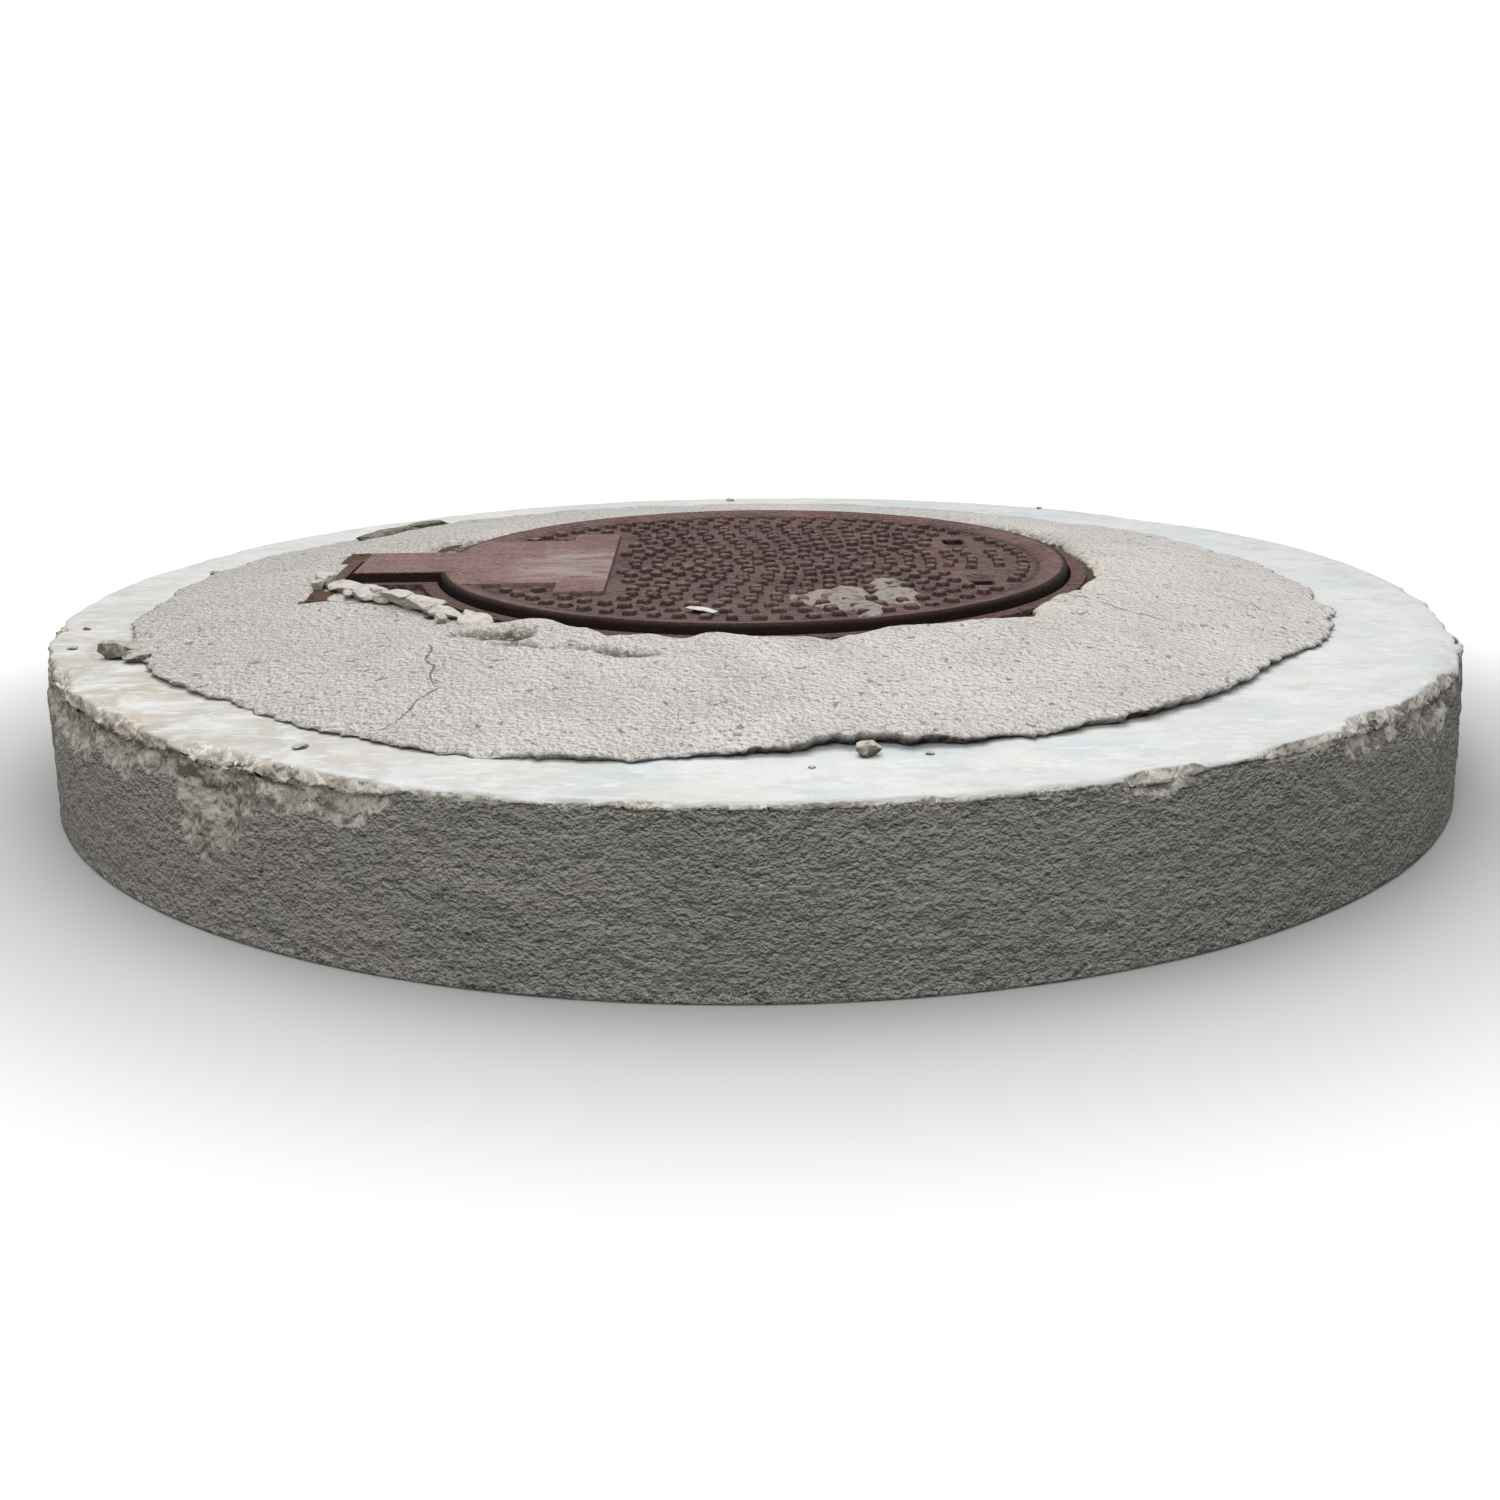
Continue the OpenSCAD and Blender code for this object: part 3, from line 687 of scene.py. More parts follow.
def slab_profile():
    """Outline of the slab from the opening's foot, out, up, and back in to the opening."""
    worn = 3 * MM
    corners = [
        ((OPENING_R, 0), 60 * MM),
        ((SLAB_R - worn, 0), 2.2 * MM),
        ((SLAB_R, worn), 4.1 * MM),
        ((SLAB_R, SLAB_H - EDGE_BAND), 2.7 * MM),
        ((SLAB_R, SLAB_H), 2.7 * MM),
        ((SLAB_R - EDGE_BAND, SLAB_H), 5 * MM),
        ((HAUNCH_COVER_R, SLAB_H), 45 * MM),
        ((STEP_R, SLAB_H), 30 * MM),
        ((STEP_R, STEP_Z), 45 * MM),
        ((OPENING_R, STEP_Z), 30 * MM),
    ]
    profile = []
    for number, (corner, step) in enumerate(corners):
        profile += stretch(corner, corners[(number + 1) % len(corners)][0], step)
    return profile


def slab_piece():
    """The slab: rough side, nearly flat painted top, and an edge broken by age, most at the left."""
    profile = slab_profile()
    points = lathe(profile, SLAB_COLUMNS)
    radius = np.hypot(points[:, 0], points[:, 1])
    angle = np.degrees(np.arctan2(points[:, 1], points[:, 0]))
    out = points[:, :2] / radius[:, None]
    height = points[:, 2]
    at_side = (radius > SLAB_R - MM) & (height < SLAB_H - 0.1 * MM)
    at_top = (height > SLAB_H - 0.1 * MM) & (radius > STEP_R + MM)
    from_edge = np.where(at_side, SLAB_H - height, SLAB_R - radius)
    rim = np.stack([out[:, 0] * SLAB_R, out[:, 1] * SLAB_R, 0 * radius], axis=1)

    # The broken edge: a shallow scoop all the way round, and the deeper spalls
    lobes = np.clip(fbm(rim, 0.12, 3, 11), -1, 1)
    nicks = np.clip(fbm(rim, 0.030, 3, 23), -1, 1)
    ragged = fbm(points, 0.045, 4, 31)
    worse = 1 + bumps(angle, (1.1, 222, 48), (0.8, -22, 46))
    reach = np.maximum(4 * MM + 4 * MM * nicks + 6 * MM * smooth(0.1, 0.7, lobes), 1.2 * MM) * worse
    broken = smooth(0.0, 0.4, 1 - from_edge / reach + 0.6 * ragged - 0.2)
    _, value = cells(points, 0.020, 41)
    cut = broken * (2.6 * MM + 2 * MM * smooth(0.0, 0.7, lobes)) * (0.6 + 0.8 * value)
    for centre, half_width, down, inwards in SPALLS:
        share = from_edge / np.where(at_side, down * MM, inwards * MM)
        inside = 1 - np.hypot(turn_gap(angle, centre) / half_width, share) + 0.40 * ragged
        broken = np.maximum(broken, smooth(-0.10, 0.35, inside))
        deep = min(6 + 0.10 * down, 13) * MM
        cut = np.maximum(cut, smooth(0.0, 0.55, inside) * deep * (0.70 + 0.45 * value))
    edge_zone = (at_side | at_top) & (from_edge < 0.11)
    broken = broken * edge_zone
    cut = np.maximum(cut + broken * 1.6 * MM * fbm(points, 0.012, 3, 43), 0) * edge_zone
    rounding = 3 * MM * hump(from_edge, 5 * MM)
    shoulder = 9 * MM * bump_at(angle, -14, 42) * (0.8 + 0.3 * nicks)
    rounding = (rounding + shoulder * hump(from_edge, 15 * MM)) * (at_side | at_top)

    # The cast side: lumps, scattered pits, long waves and one smeared ridge at the front
    lumps = 0.5 + 0.5 * np.clip(fbm(points * np.array([1, 1, 1.3]), 0.015, 3, 51), -1, 1)
    away, value = cells(points, 0.016, 57)
    pits = smooth(0.75, 0.2, away) * (value > 0.6)
    wave = 0.5 + 0.5 * np.clip(fbm(points, 0.16, 2, 61), -1, 1)
    arc = np.radians(turn_gap(angle, 250)) * SLAB_R
    on_arc = smooth(-0.03, 0.02, arc) * smooth(0.13, 0.07, arc)
    ridge_line = height - 90 * MM + 0.28 * arc + 3 * MM * fbm(rim, 0.03, 3, 59)
    ridge = 2.6 * MM * smooth(5 * MM, -1 * MM, ridge_line) * smooth(-30 * MM, -4 * MM, ridge_line)
    rough = 2.4 * MM * lumps + MM * pits + 2.2 * MM * wave - ridge * on_arc
    rough = np.maximum(rough, 0) * smooth(0, 10 * MM, height) * at_side

    battered = 5 * MM * bump_at(angle, 2, 48) * smooth(0.3, 1, height / SLAB_H)
    corner = hump(from_edge, 9 * MM)
    inward = battered * smooth(SLAB_R - 0.06, SLAB_R, radius) * (at_side | at_top)
    inward = inward + at_side * (cut + rounding + rough) + at_top * 0.8 * cut * corner
    uneven = 0.6 * MM * (0.5 + 0.5 * fbm(points, 0.05, 3, 67))
    downward = at_top * (cut + rounding + uneven) + at_side * 0.6 * cut * corner
    points[:, :2] -= out * inward[:, None]
    points[:, 2] -= downward

    drip = at_side * smooth(4 * MM, 0, np.abs(ridge_line - 2 * MM)) * on_arc
    stain = 0.10 + 0.8 * drip + 0.90 * bump_at(angle, 214, 60) + 0.20 * fade(SLAB_R - radius, 0.03) * at_top
    shells = Shells()
    colours = np.stack([at_top, broken, np.clip(stain, 0, 1)], axis=1)
    shells.add(points, tube_quads(len(profile), SLAB_COLUMNS), colours)
    shells.piece("slab_concrete", "surround", concrete, "cover_slab")


# ---------- haunch ----------

HAUNCH_COLUMNS = 1260
HAUNCH_ROWS = 66
HAUNCH_R = 0.600
HAUNCH_SHIFT = 0.022
CEMENT_TOP = 4.5 * MM
HAUNCH_FOOT = SLAB_H - 1.2 * MM

# Where the mortar stands back from the ring, or laps further over it: millimetres, angle, half width
RING_SHIFTS = [(24, -48, 6), (9, -90, 7), (12, -81, 5), (15, -111, 5), (25, -131, 5), (7, -102, 4),
               (5, -10, 14), (7, 20, 18), (-11, -124, 5), (-7, -106, 3), (-10, -97, 4),
               (-16, -66, 12), (-8, -34, 7), (-6, 100, 20)]
# The outer lip's larger swings, in the same terms
LIP_SHIFTS = [(13, -112, 22), (-17, -36, 17), (-10, -84, 7), (8, -13, 5), (-12, 147, 9)]
# The window round the hinge box: angle from the box's middle, distance the mortar stands back
BOX_WINDOW = [(-11.5, 0), (-10.0, 0.040), (-8.6, 0.090), (0, 0.090), (9, 0.082),
              (13, 0.068), (17, 0.046), (22, 0.018), (27, 0)]


def inner_edge(angle):
    """Radius at which the mortar stops round the frame, with the window round the hinge box."""
    around = on_circle(angle)
    ragged = 2.5 * fbm(around * 0.35, 0.05, 3, 71) + 1.6 * fbm(around * 0.35, 0.012, 3, 73)
    box = np.interp(turn_gap(angle, 180), *zip(*BOX_WINDOW)) * (1 + 0.09 * fbm(around * 0.4, 0.03, 3, 79))
    radius = 0.343 + (ragged + bumps(angle, *RING_SHIFTS)) * MM + box
    return np.maximum(radius, LID_R + 3.5 * MM)


def outer_edge(angle):
    """Radius of the haunch's broken outer lip."""
    around = on_circle(angle) * HAUNCH_R
    torn = 1 + bumps(angle, (1.2, -80, 22), (0.2, -130, 32))
    chips = 5.0 * np.abs(fbm(around, 0.022, 2, 91)) + 3.0 * np.abs(fbm(around, 0.009, 2, 93))
    drift = 4 * fbm(around, 0.14, 3, 83) + 3.0 * fbm(around, 0.035, 3, 89) - chips * torn
    drift = drift + 4 * bump_at(angle, -130, 32) * fbm(around, 0.060, 3, 95)
    drift = drift + bumps(angle, *LIP_SHIFTS)
    return HAUNCH_R - HAUNCH_SHIFT * around[:, 0] / HAUNCH_R + drift * MM


def distance_to_line(points, start, end):
    """Plan distance from a straight line between two points."""
    start, end = np.array(start), np.array(end)
    along = end - start
    share = np.clip(((points[:, :2] - start) @ along) / (along @ along), 0, 1)
    return np.linalg.norm(points[:, :2] - start - share[:, None] * along, axis=1)


def haunch_slope(angle, circle, near, far):
    """Points of the sloping top, from the ring out to the lip, and their mask colours."""
    lip = 4.8 * MM + 2.6 * MM * fbm(circle * HAUNCH_R, 0.07, 3, 97) + 8 * MM * bump_at(angle, -83, 15)
    lip = np.maximum(lip, 1.8 * MM) + 4.0 * MM * bump_at(angle, -52, 34)
    crest = FRAME_TOP + CEMENT_TOP + 1.8 * MM * fbm(circle * 0.345, 0.03, 3, 101)
    sunk = smooth(34, 22, np.abs(turn_gap(angle, -166)))
    crest = crest + 1.5 * MM * bump_at(angle, -125, 9) - 8.5 * MM * sunk
    crest = np.minimum(crest, LID_TOP - 2 * MM)
    share = np.linspace(0, 1, HAUNCH_ROWS)[:, None]
    radius = near + (far - near) * share
    height = crest + (SLAB_H + lip - crest) * (0.45 * share + 0.55 * share ** 2)
    points = at_height(circle * radius[..., None], height).reshape(-1, 3)
    inside = (radius - near).ravel()
    outside = (far - radius).ravel()
    angle = np.tile(angle, HAUNCH_ROWS)

    # Both edges are rounded and crumbled, the middle only rolls
    middle = smooth(0, 20 * MM, inside) * smooth(0, 20 * MM, outside)
    wave = middle * (1.6 * fbm(points, 0.11, 3, 103) + 0.5 * fbm(points, 0.02, 3, 107))
    inner = fade(inside, 16 * MM) * (1.6 * fbm(points, 0.022, 3, 109) - 0.5) - 5.5 * hump(inside, 4 * MM)
    outer = 1.4 * fade(outside, 9 * MM) * fbm(points, 0.011, 3, 111) - 1.6 * hump(outside, 3.5 * MM)
    points[:, 2] += (wave + inner + outer) * MM

    # The trench, the holes beside it and the swelling along the left front of the ring
    def from_line(start, end, wandering=1.0):
        return distance_to_line(points, start, end) + wandering * wander

    wander = 3 * MM * fbm(points, 0.03, 3, 113)
    crumbly = 1.8 * MM * fbm(points, 0.010, 3, 119)
    trench = from_line((-0.222, -0.345), (-0.088, -0.392)) + crumbly
    trench_end = from_line((-0.135, -0.378), (-0.098, -0.388), 2) + crumbly
    spread = smooth(-0.3, 0.5, fbm(points, 0.04, 3, 127))
    gouge = smooth(9 * MM, 3 * MM, trench) * (0.65 + 0.35 * spread)
    gouge = np.maximum(gouge, 0.9 * smooth(13 * MM, 5 * MM, trench_end))
    hollow = smooth(22 * MM, 8 * MM, from_line((-0.232, -0.318), (-0.208, -0.326), 2))
    pocket = smooth(14 * MM, 5 * MM, from_line((-0.264, -0.310), (-0.252, -0.312)))
    hollow = np.maximum(hollow, 0.8 * pocket)
    hole = smooth(23 * MM, 12 * MM, from_line((-0.340, 0.130), (-0.326, 0.158)))
    swell = smooth(38 * MM, 8 * MM, from_line((-0.200, -0.300), (0.020, -0.375)))
    points[:, 2] += 3.0 * MM * swell * smooth(0, 12 * MM, inside)
    points[:, 2] -= 6 * MM * gouge + 6 * MM * hollow + 5 * MM * hole
    points[:, 2] = np.minimum(points[:, 2], LID_TOP - 2 * MM)

    # Painted shade in the hole
    dark = np.clip(1.2 * hole * (0.6 + 0.4 * fbm(points, 0.012, 2, 117)), 0, 1)
    bedded = np.clip(bumps(angle, (1, -140, 48), (1, -25, 50)), 0, 1)
    yellow = fade(inside, 14 * MM) * (0.35 + 0.65 * bedded)
    soiled = fade(inside, 8 * MM) * bumps(angle, (1, 25, 30), (0.6, 90, 50))
    moss = np.clip(gouge + hollow + 0.9 * soiled, 0, 1)
    return points, np.stack([dark, yellow, moss], axis=1)


def haunch_piece():
    """The mortar haunch, sloping from the frame down to a ragged lip on the slab."""
    angle = -180 + np.arange(HAUNCH_COLUMNS) * 360 / HAUNCH_COLUMNS
    circle = on_circle(angle)
    near, far = inner_edge(angle), outer_edge(angle)
    slope, colours = haunch_slope(angle, circle, near, far)
    first, last = slope[:HAUNCH_COLUMNS, 2], slope[-HAUNCH_COLUMNS:, 2]
    rows, tints = [slope], [colours]

    def add_ring(radius, height, tint):
        rows.append(at_height(circle * radius[:, None], height))
        tints.append(np.broadcast_to(np.array(tint, float), (HAUNCH_COLUMNS, 3)))

    # The broken face of the outer lip, cut back under its top, with painted shade that darkens towards its
    # foot and where it is cut back deepest
    deep = bumps(angle, (1, -82, 16), (0.5, -50, 30))
    for share in (0.15, 0.36, 0.62, 0.84, 1.0):
        level = last + (HAUNCH_FOOT - last) * share
        belly = 0.8 * MM * math.sin(math.pi * min(share * 1.3, 1))
        under = far + belly - (7 + 9 * deep) * MM * share ** 1.2
        spot = at_height(circle * under[:, None], level)
        under = under + 1.8 * MM * fbm(spot, 0.012, 3, 131) - 1.5 * MM * np.abs(fbm(spot, 0.03, 3, 137))
        lip_face_shade = np.clip(0.15 + (0.75 + 1.2 * deep) * share + 0.6 * fbm(spot, 0.05, 3, 141), 0, 1)
        add_ring(under, level, np.stack([lip_face_shade, 0 * lip_face_shade, 0 * lip_face_shade], axis=1))
    # The hidden underside, then the face that meets the ring, both with painted shade
    for share in (0.7, 0.35, 0.0):
        add_ring(near + (far - near) * share - 16 * MM * (share > 0), HAUNCH_FOOT + 0 * near, (0.5, 0, 0))
    for share in (0.0, 0.5, 0.8):
        foot = FRAME_TOP - 2 * MM
        level = foot + (first - foot) * share
        spot = at_height(circle * near[:, None], level)
        add_ring(near + 1.0 * MM * fbm(spot, 0.01, 2, 139), level, (0.25, 0.5, 0.1))
    shells = Shells()
    total_rows = sum(len(row) for row in rows) // HAUNCH_COLUMNS
    faces = [block[:, ::-1] for block in tube_quads(total_rows, HAUNCH_COLUMNS)]
    shells.add(np.concatenate(rows), faces, np.concatenate(tints))
    shells.piece("haunch_mortar", "surround", haunch_mortar, "mortar_haunch")


# ---------- lid ----------

LID_COLUMNS = 640
FIELD_Z = LID_TOP - 5 * MM
PLATE_Z = FIELD_Z - 12 * MM
RIM_IN = LID_R - 30 * MM
CREST_IN = LID_R - 8 * MM
SPIGOT_IN, SPIGOT_OUT = 0.284, 0.294
SPIGOT_Z = LID_TOP - 46 * MM
# Lifting pockets: centre, end radius and straight run, and the band of finer mesh they lie in
POCKET_X, POCKET_Y = 0.222, 0.100
POCKET_R, POCKET_RUN = 0.016, 0.034
POCKET_BAND = (0.186, 0.282)
# Right edge and half width of the two smooth plates
PLATE_A = (0.192, 0.120)
PLATE_B = (0.146, 0.163)
ARM_HALF = 0.055
PIN_X, PIN_Z = -0.375, LID_TOP - 26 * MM
EYE_R = 24 * MM
RIBS = 6
RIB_RING_R = 0.150

# The tread: radius of the outermost ring, pitch of the first rings and of the others, and spacing
TREAD_R, OUTER_PITCH, INNER_PITCH, STUD_SPACING = 0.279, 0.0265, 0.021, 0.0245
TREAD_RINGS, OUTER_RINGS = 13, 2
TREAD_CLEAR = 10 * MM
# Where a stud is divided, from its middle to its edge: close together on its flank
STUD_LINE = [0, 0.32, 0.64, 0.78, 0.90, 1]


def pocket_edge(x, y):
    """Distance outside the outline of the nearer lifting pocket, negative inside it."""
    along = np.maximum(np.abs(np.abs(y) - POCKET_Y) - POCKET_RUN / 2, 0)
    return np.hypot(x - POCKET_X, along) - POCKET_R


def slot_edge(x, y):
    """Distance outside the nearer key slot, an upright slit in its pocket."""
    middle = POCKET_Y + np.where(y < 0, 21 * MM, 15 * MM)
    half = np.where(y < 0, 13 * MM, 9 * MM)
    beside = np.maximum(np.abs(x - POCKET_X) - 5 * MM, 0)
    beyond = np.maximum(np.abs(np.abs(y) - middle) - half + 3 * MM, 0)
    return np.hypot(beside, beyond) - 4 * MM


def near_spots(radius, height, *steps):
    """Profile points this many millimetres out and up from a radius and a height."""
    return [(radius + out * MM, height + up * MM) for out, up in steps]


def lid_disc(shells):
    """Plate, raised rim, seat and spigot as one turned casting."""
    top_profile = (
        stretch((2 * MM, FIELD_Z), (POCKET_BAND[0], FIELD_Z), 3.2 * MM)
        + stretch((POCKET_BAND[0], FIELD_Z), (POCKET_BAND[1], FIELD_Z), 1.5 * MM)
        + stretch((POCKET_BAND[1], FIELD_Z), (RIM_IN - 1 * MM, FIELD_Z), 3 * MM)
        + near_spots(RIM_IN, FIELD_Z, (0, -0.3), (1.4, 0.7))
        + stretch((RIM_IN + 3 * MM, FIELD_Z + 1.3 * MM), (CREST_IN, LID_TOP - 0.2 * MM), 2.6 * MM)
        + near_spots(CREST_IN, LID_TOP, (0, -0.15), (1.5, 0))
        + near_spots(LID_R, LID_TOP, (-4, -0.1), (-1.8, -0.8), (-0.5, -2.4), (0, -4.5))
    )
    low_profile = (
        stretch((LID_R, LID_TOP - 7 * MM), (LID_R, SEAT_Z + 1.5 * MM), 4 * MM)
        + near_spots(LID_R, SEAT_Z, (0, 1.5), (-1.5, 0))
        + near_spots(SPIGOT_OUT, SEAT_Z, (7, 0))
        + near_spots(SPIGOT_OUT, PLATE_Z, (0, -6))
        + near_spots(SPIGOT_OUT, SPIGOT_Z, (0, 1), (-1, 0))
        + near_spots(SPIGOT_IN, SPIGOT_Z, (1, 0), (0, 1))
        + near_spots(SPIGOT_IN, PLATE_Z, (0, -3), (-3, 0))
        + stretch((SPIGOT_IN - 20 * MM, PLATE_Z), (2 * MM, PLATE_Z), 50 * MM, last=True)
    )
    rows = len(top_profile) + len(low_profile)
    points = lathe(top_profile + low_profile, LID_COLUMNS)
    is_top = np.arange(len(points)) < len(top_profile) * LID_COLUMNS
    radius = np.hypot(points[:, 0], points[:, 1])
    slot, pocket = slot_edge(*points[:, :2].T), pocket_edge(*points[:, :2].T)

    # Skin of the casting, the dishes of the pockets and the blind slots in them
    relief = 0.35 * MM * (1 + fbm(points, 0.05, 3, 151)) + 0.12 * MM * (1 + fbm(points, 0.010, 2, 157))
    relief = relief + 2.6 * MM * smooth(1.0 * MM, -9.0 * MM, pocket)
    sunk = np.maximum(relief, 24 * MM * smooth(1.0 * MM, -1.0 * MM, slot))
    points[:, 2] -= sunk * smooth(LID_R - 0.5 * MM, LID_R - 6 * MM, radius) * is_top
    side = radius > LID_R - 0.2 * MM
    push = side * 0.25 * MM * (1 + fbm(points, 0.012, 3, 163))
    points[:, :2] *= (1 - push / np.maximum(radius, 1e-6))[:, None]

    rim = is_top & (radius > RIM_IN + 1.0 * MM)
    waves = 0.5 + 0.5 * fbm(points, 0.06, 3, 161)
    deep = smooth(4.0 * MM, 1.5 * MM, slot) * is_top
    dished = smooth(1 * MM, 3 * MM, relief * is_top)
    groove = hump(radius - RIM_IN, 3.0 * MM) * is_top
    rim_foot = smooth(LID_R - 7 * MM, LID_R - 4.5 * MM, radius) * rim
    shade = np.where(is_top, 0, 0.55) + 0.9 * side + 0.95 * rim_foot
    shade = np.clip(shade + 0.55 * groove + deep + 0.20 * dished, 0, 1)
    by_pocket = smooth(22 * MM, 6 * MM, pocket_edge(*points[:, :2].T)) * is_top
    worn = np.where(rim, 0.08 + 0.24 * smooth(RIM_IN, CREST_IN, radius) + 0.16 * waves, 0.04) * is_top
    worn = np.maximum(worn, 0.32 * by_pocket * (1 - dished))
    dust = 0.12 * is_top * np.where(rim, 0.5, 1.0) * (1 - deep)

    column = np.arange(LID_COLUMNS)
    centre_low = (rows - 1) * LID_COLUMNS + column[::-1]
    faces = [grid_quads(rows, LID_COLUMNS)[:, ::-1], column, centre_low]
    shells.add(points, faces, np.stack([worn, shade, dust], axis=1))


def is_plain(x, y):
    """True where the tread has no studs: on the smooth plates and round the pockets."""
    on_a = x < -PLATE_A[0] + TREAD_CLEAR and abs(y) < PLATE_A[1] + TREAD_CLEAR
    on_b = -PLATE_A[0] - TREAD_CLEAR < x < -PLATE_B[0] + TREAD_CLEAR and abs(y) < PLATE_B[1] + TREAD_CLEAR
    reach = POCKET_R + POCKET_RUN / 2 + TREAD_CLEAR
    by_pocket = abs(x - POCKET_X) < POCKET_R + TREAD_CLEAR and abs(abs(y) - POCKET_Y) < reach
    return on_a or on_b or by_pocket


def tread_studs(shells, random):
    """Worn square studs in staggered rings, each a low dome with steep sides sunk into the plate."""
    line = np.array([-share for share in STUD_LINE[:0:-1]] + STUD_LINE)
    u, v = [axis.ravel() for axis in np.meshgrid(line, line, indexing="ij")]
    quads = grid_quads(len(line), len(line), closed=False)
    underside = grid_border(len(line), len(line))[::-1]
    edge = np.maximum(np.abs(u), np.abs(v))
    rounded = (np.abs(u) ** 5 + np.abs(v) ** 5) ** 0.2
    shape = np.where(edge > 0, edge / np.maximum(rounded, 1e-9), 1)
    flank = smooth(1.0, 0.64, edge)
    top = smooth(0.80, 0.64, edge)
    foot = (1 - top) * (1 - smooth(0.97, 1, edge))
    sunk = 1.2 * MM
    for ring in range(TREAD_RINGS):
        radius = TREAD_R - min(ring, OUTER_RINGS) * OUTER_PITCH - max(ring - OUTER_RINGS, 0) * INNER_PITCH
        count = max(5, round(2 * math.pi * radius / STUD_SPACING))
        for place in range(count):
            turn = (place + (ring % 2) / 2) * 2 * math.pi / count
            jitter = random.normal(0, 1, 6)
            if is_plain(radius * math.cos(turn), radius * math.sin(turn)):
                continue
            half_wide = (7.4 + 0.5 * jitter[0]) * MM
            half_long = (6.9 + 0.5 * jitter[1]) * MM
            high = (3.9 + 0.35 * jitter[2]) * MM
            skew = turn + 0.15 * jitter[3]
            centre = radius + 1.0 * MM * jitter[4]
            across, along = v * shape * half_wide, u * shape * half_long
            x = centre * math.cos(turn) + along * math.cos(skew) - across * math.sin(skew)
            y = centre * math.sin(turn) + along * math.sin(skew) + across * math.cos(skew)
            height = (high + sunk) * flank - sunk - 0.35 * MM * (u ** 2 + v ** 2) * flank
            points = np.stack([x, y, FIELD_Z + height], axis=1)
            points[:, 2] += 0.3 * MM * fbm(points, 0.006, 2, 167) * flank
            points[:, 2] = np.minimum(points[:, 2], LID_TOP - 0.4 * MM)
            wear = np.clip(0.21 + 0.19 * jitter[5], 0.02, 0.8)
            colours = np.stack([wear * top + 0.05, 0.66 * foot, 0.04 + 0.08 * top], axis=1)
            shells.add(points, [quads, underside], colours)


def smooth_plate(shells, left, right, half, top, radius, worn):
    """A smooth plate with rounded edges, never past the rim's crest, dusty beside the arm, its flanks
    painted light so that the shade of its step shows less.
    """
    points, quads = soft_box((left, -half, FIELD_Z - 3 * MM), (right, half, top), 4 * MM, radius)
    points[:, 2] -= 0.2 * MM * (1 + fbm(points, 0.03, 3, 173)) * (points[:, 2] > top - 2 * radius)
    away = np.hypot(points[:, 0], points[:, 1])
    points[:, :2] *= np.minimum((CREST_IN + 2 * MM) / away, 1)[:, None]
    facing = smooth(top - 1.2 * radius, top - 0.5 * radius, points[:, 2])
    smeared = smooth(-0.275, -0.205, points[:, 0]) * smooth(0.115, 0.045, np.abs(points[:, 1] + 0.025))
    dust = np.clip(0.8 * (0.12 + 1.1 * smeared), 0, 1)
    # Painted light: the flanks take half the worn mask and no shade, so the step looks lower
    shells.add(points, [quads], np.stack([worn * facing + 0.5 * (1 - facing), 0 * dust, dust], axis=1))


def arm_block(shells):
    """The hinge arm, drawn from the side and pulled out to its width, with softened edges."""
    eye = [math.radians(turn) for turn in range(195, 340, 12)]
    root = -PLATE_A[0] - 60 * MM
    outline = (
        [(root, LID_TOP), (-ARM_END, LID_TOP), (-ARM_END, LID_TOP - 19 * MM)]
        + [(PIN_X + EYE_R * math.cos(turn), PIN_Z + EYE_R * math.sin(turn)) for turn in eye]
        + [(-0.312, SEAT_Z + MM), (-0.300, PLATE_Z + 2 * MM), (root, PLATE_Z + 2 * MM)]
    )
    mould = bmesh.new()
    side = mould.faces.new([mould.verts.new((x, -ARM_HALF, z)) for x, z in outline])
    pulled = bmesh.ops.extrude_face_region(mould, geom=[side])
    moved = [v for v in pulled["geom"] if isinstance(v, bmesh.types.BMVert)]
    bmesh.ops.translate(mould, verts=moved, vec=(0, 2 * ARM_HALF, 0))
    bmesh.ops.recalc_face_normals(mould, faces=mould.faces)
    edges = [e for e in mould.edges if e.calc_face_angle(0) > math.radians(35)]
    bmesh.ops.bevel(mould, geom=edges, offset=2 * MM, segments=3, affect="EDGES", profile=0.6)
    bmesh.ops.triangulate(mould, faces=mould.faces, quad_method="FIXED", ngon_method="EAR_CLIP")
    points, faces = mesh_arrays(mould)
    # The bevel lists its faces in no fixed order, so they are sorted to be the same on every run
    lowest = faces.argmin(axis=1)[:, None]
    faces = np.take_along_axis(faces, (lowest + np.arange(3)) % 3, axis=1)
    faces = faces[np.lexsort(faces.T)]
    top = smooth(LID_TOP - 1.6 * MM, LID_TOP - 0.6 * MM, points[:, 2])
    shells.add(points, [faces], np.stack([0.85 * top, 0.95 * (1 - top), 0.15 * top], axis=1))


def pocket_boss(shells, side):
    """Stiff boss under a pocket, open to nothing: the dish and slot are sunk in the plate above it."""
    columns, radius = 48, POCKET_R + 8 * MM
    turn = np.linspace(0, 2 * math.pi, columns, endpoint=False)
    x = POCKET_X + radius * np.cos(turn)
    y = side * POCKET_Y + radius * np.sin(turn) + np.sign(np.sin(turn)) * POCKET_RUN / 2
    rows = [np.stack([x, y, 0 * x + z], axis=1) for z in (PLATE_Z - 12 * MM, PLATE_Z + MM)]
    foot = np.arange(columns)
    shells.add(np.concatenate(rows), [grid_quads(2, columns), foot[::-1], foot + columns], (0.1, 0.5, 0))


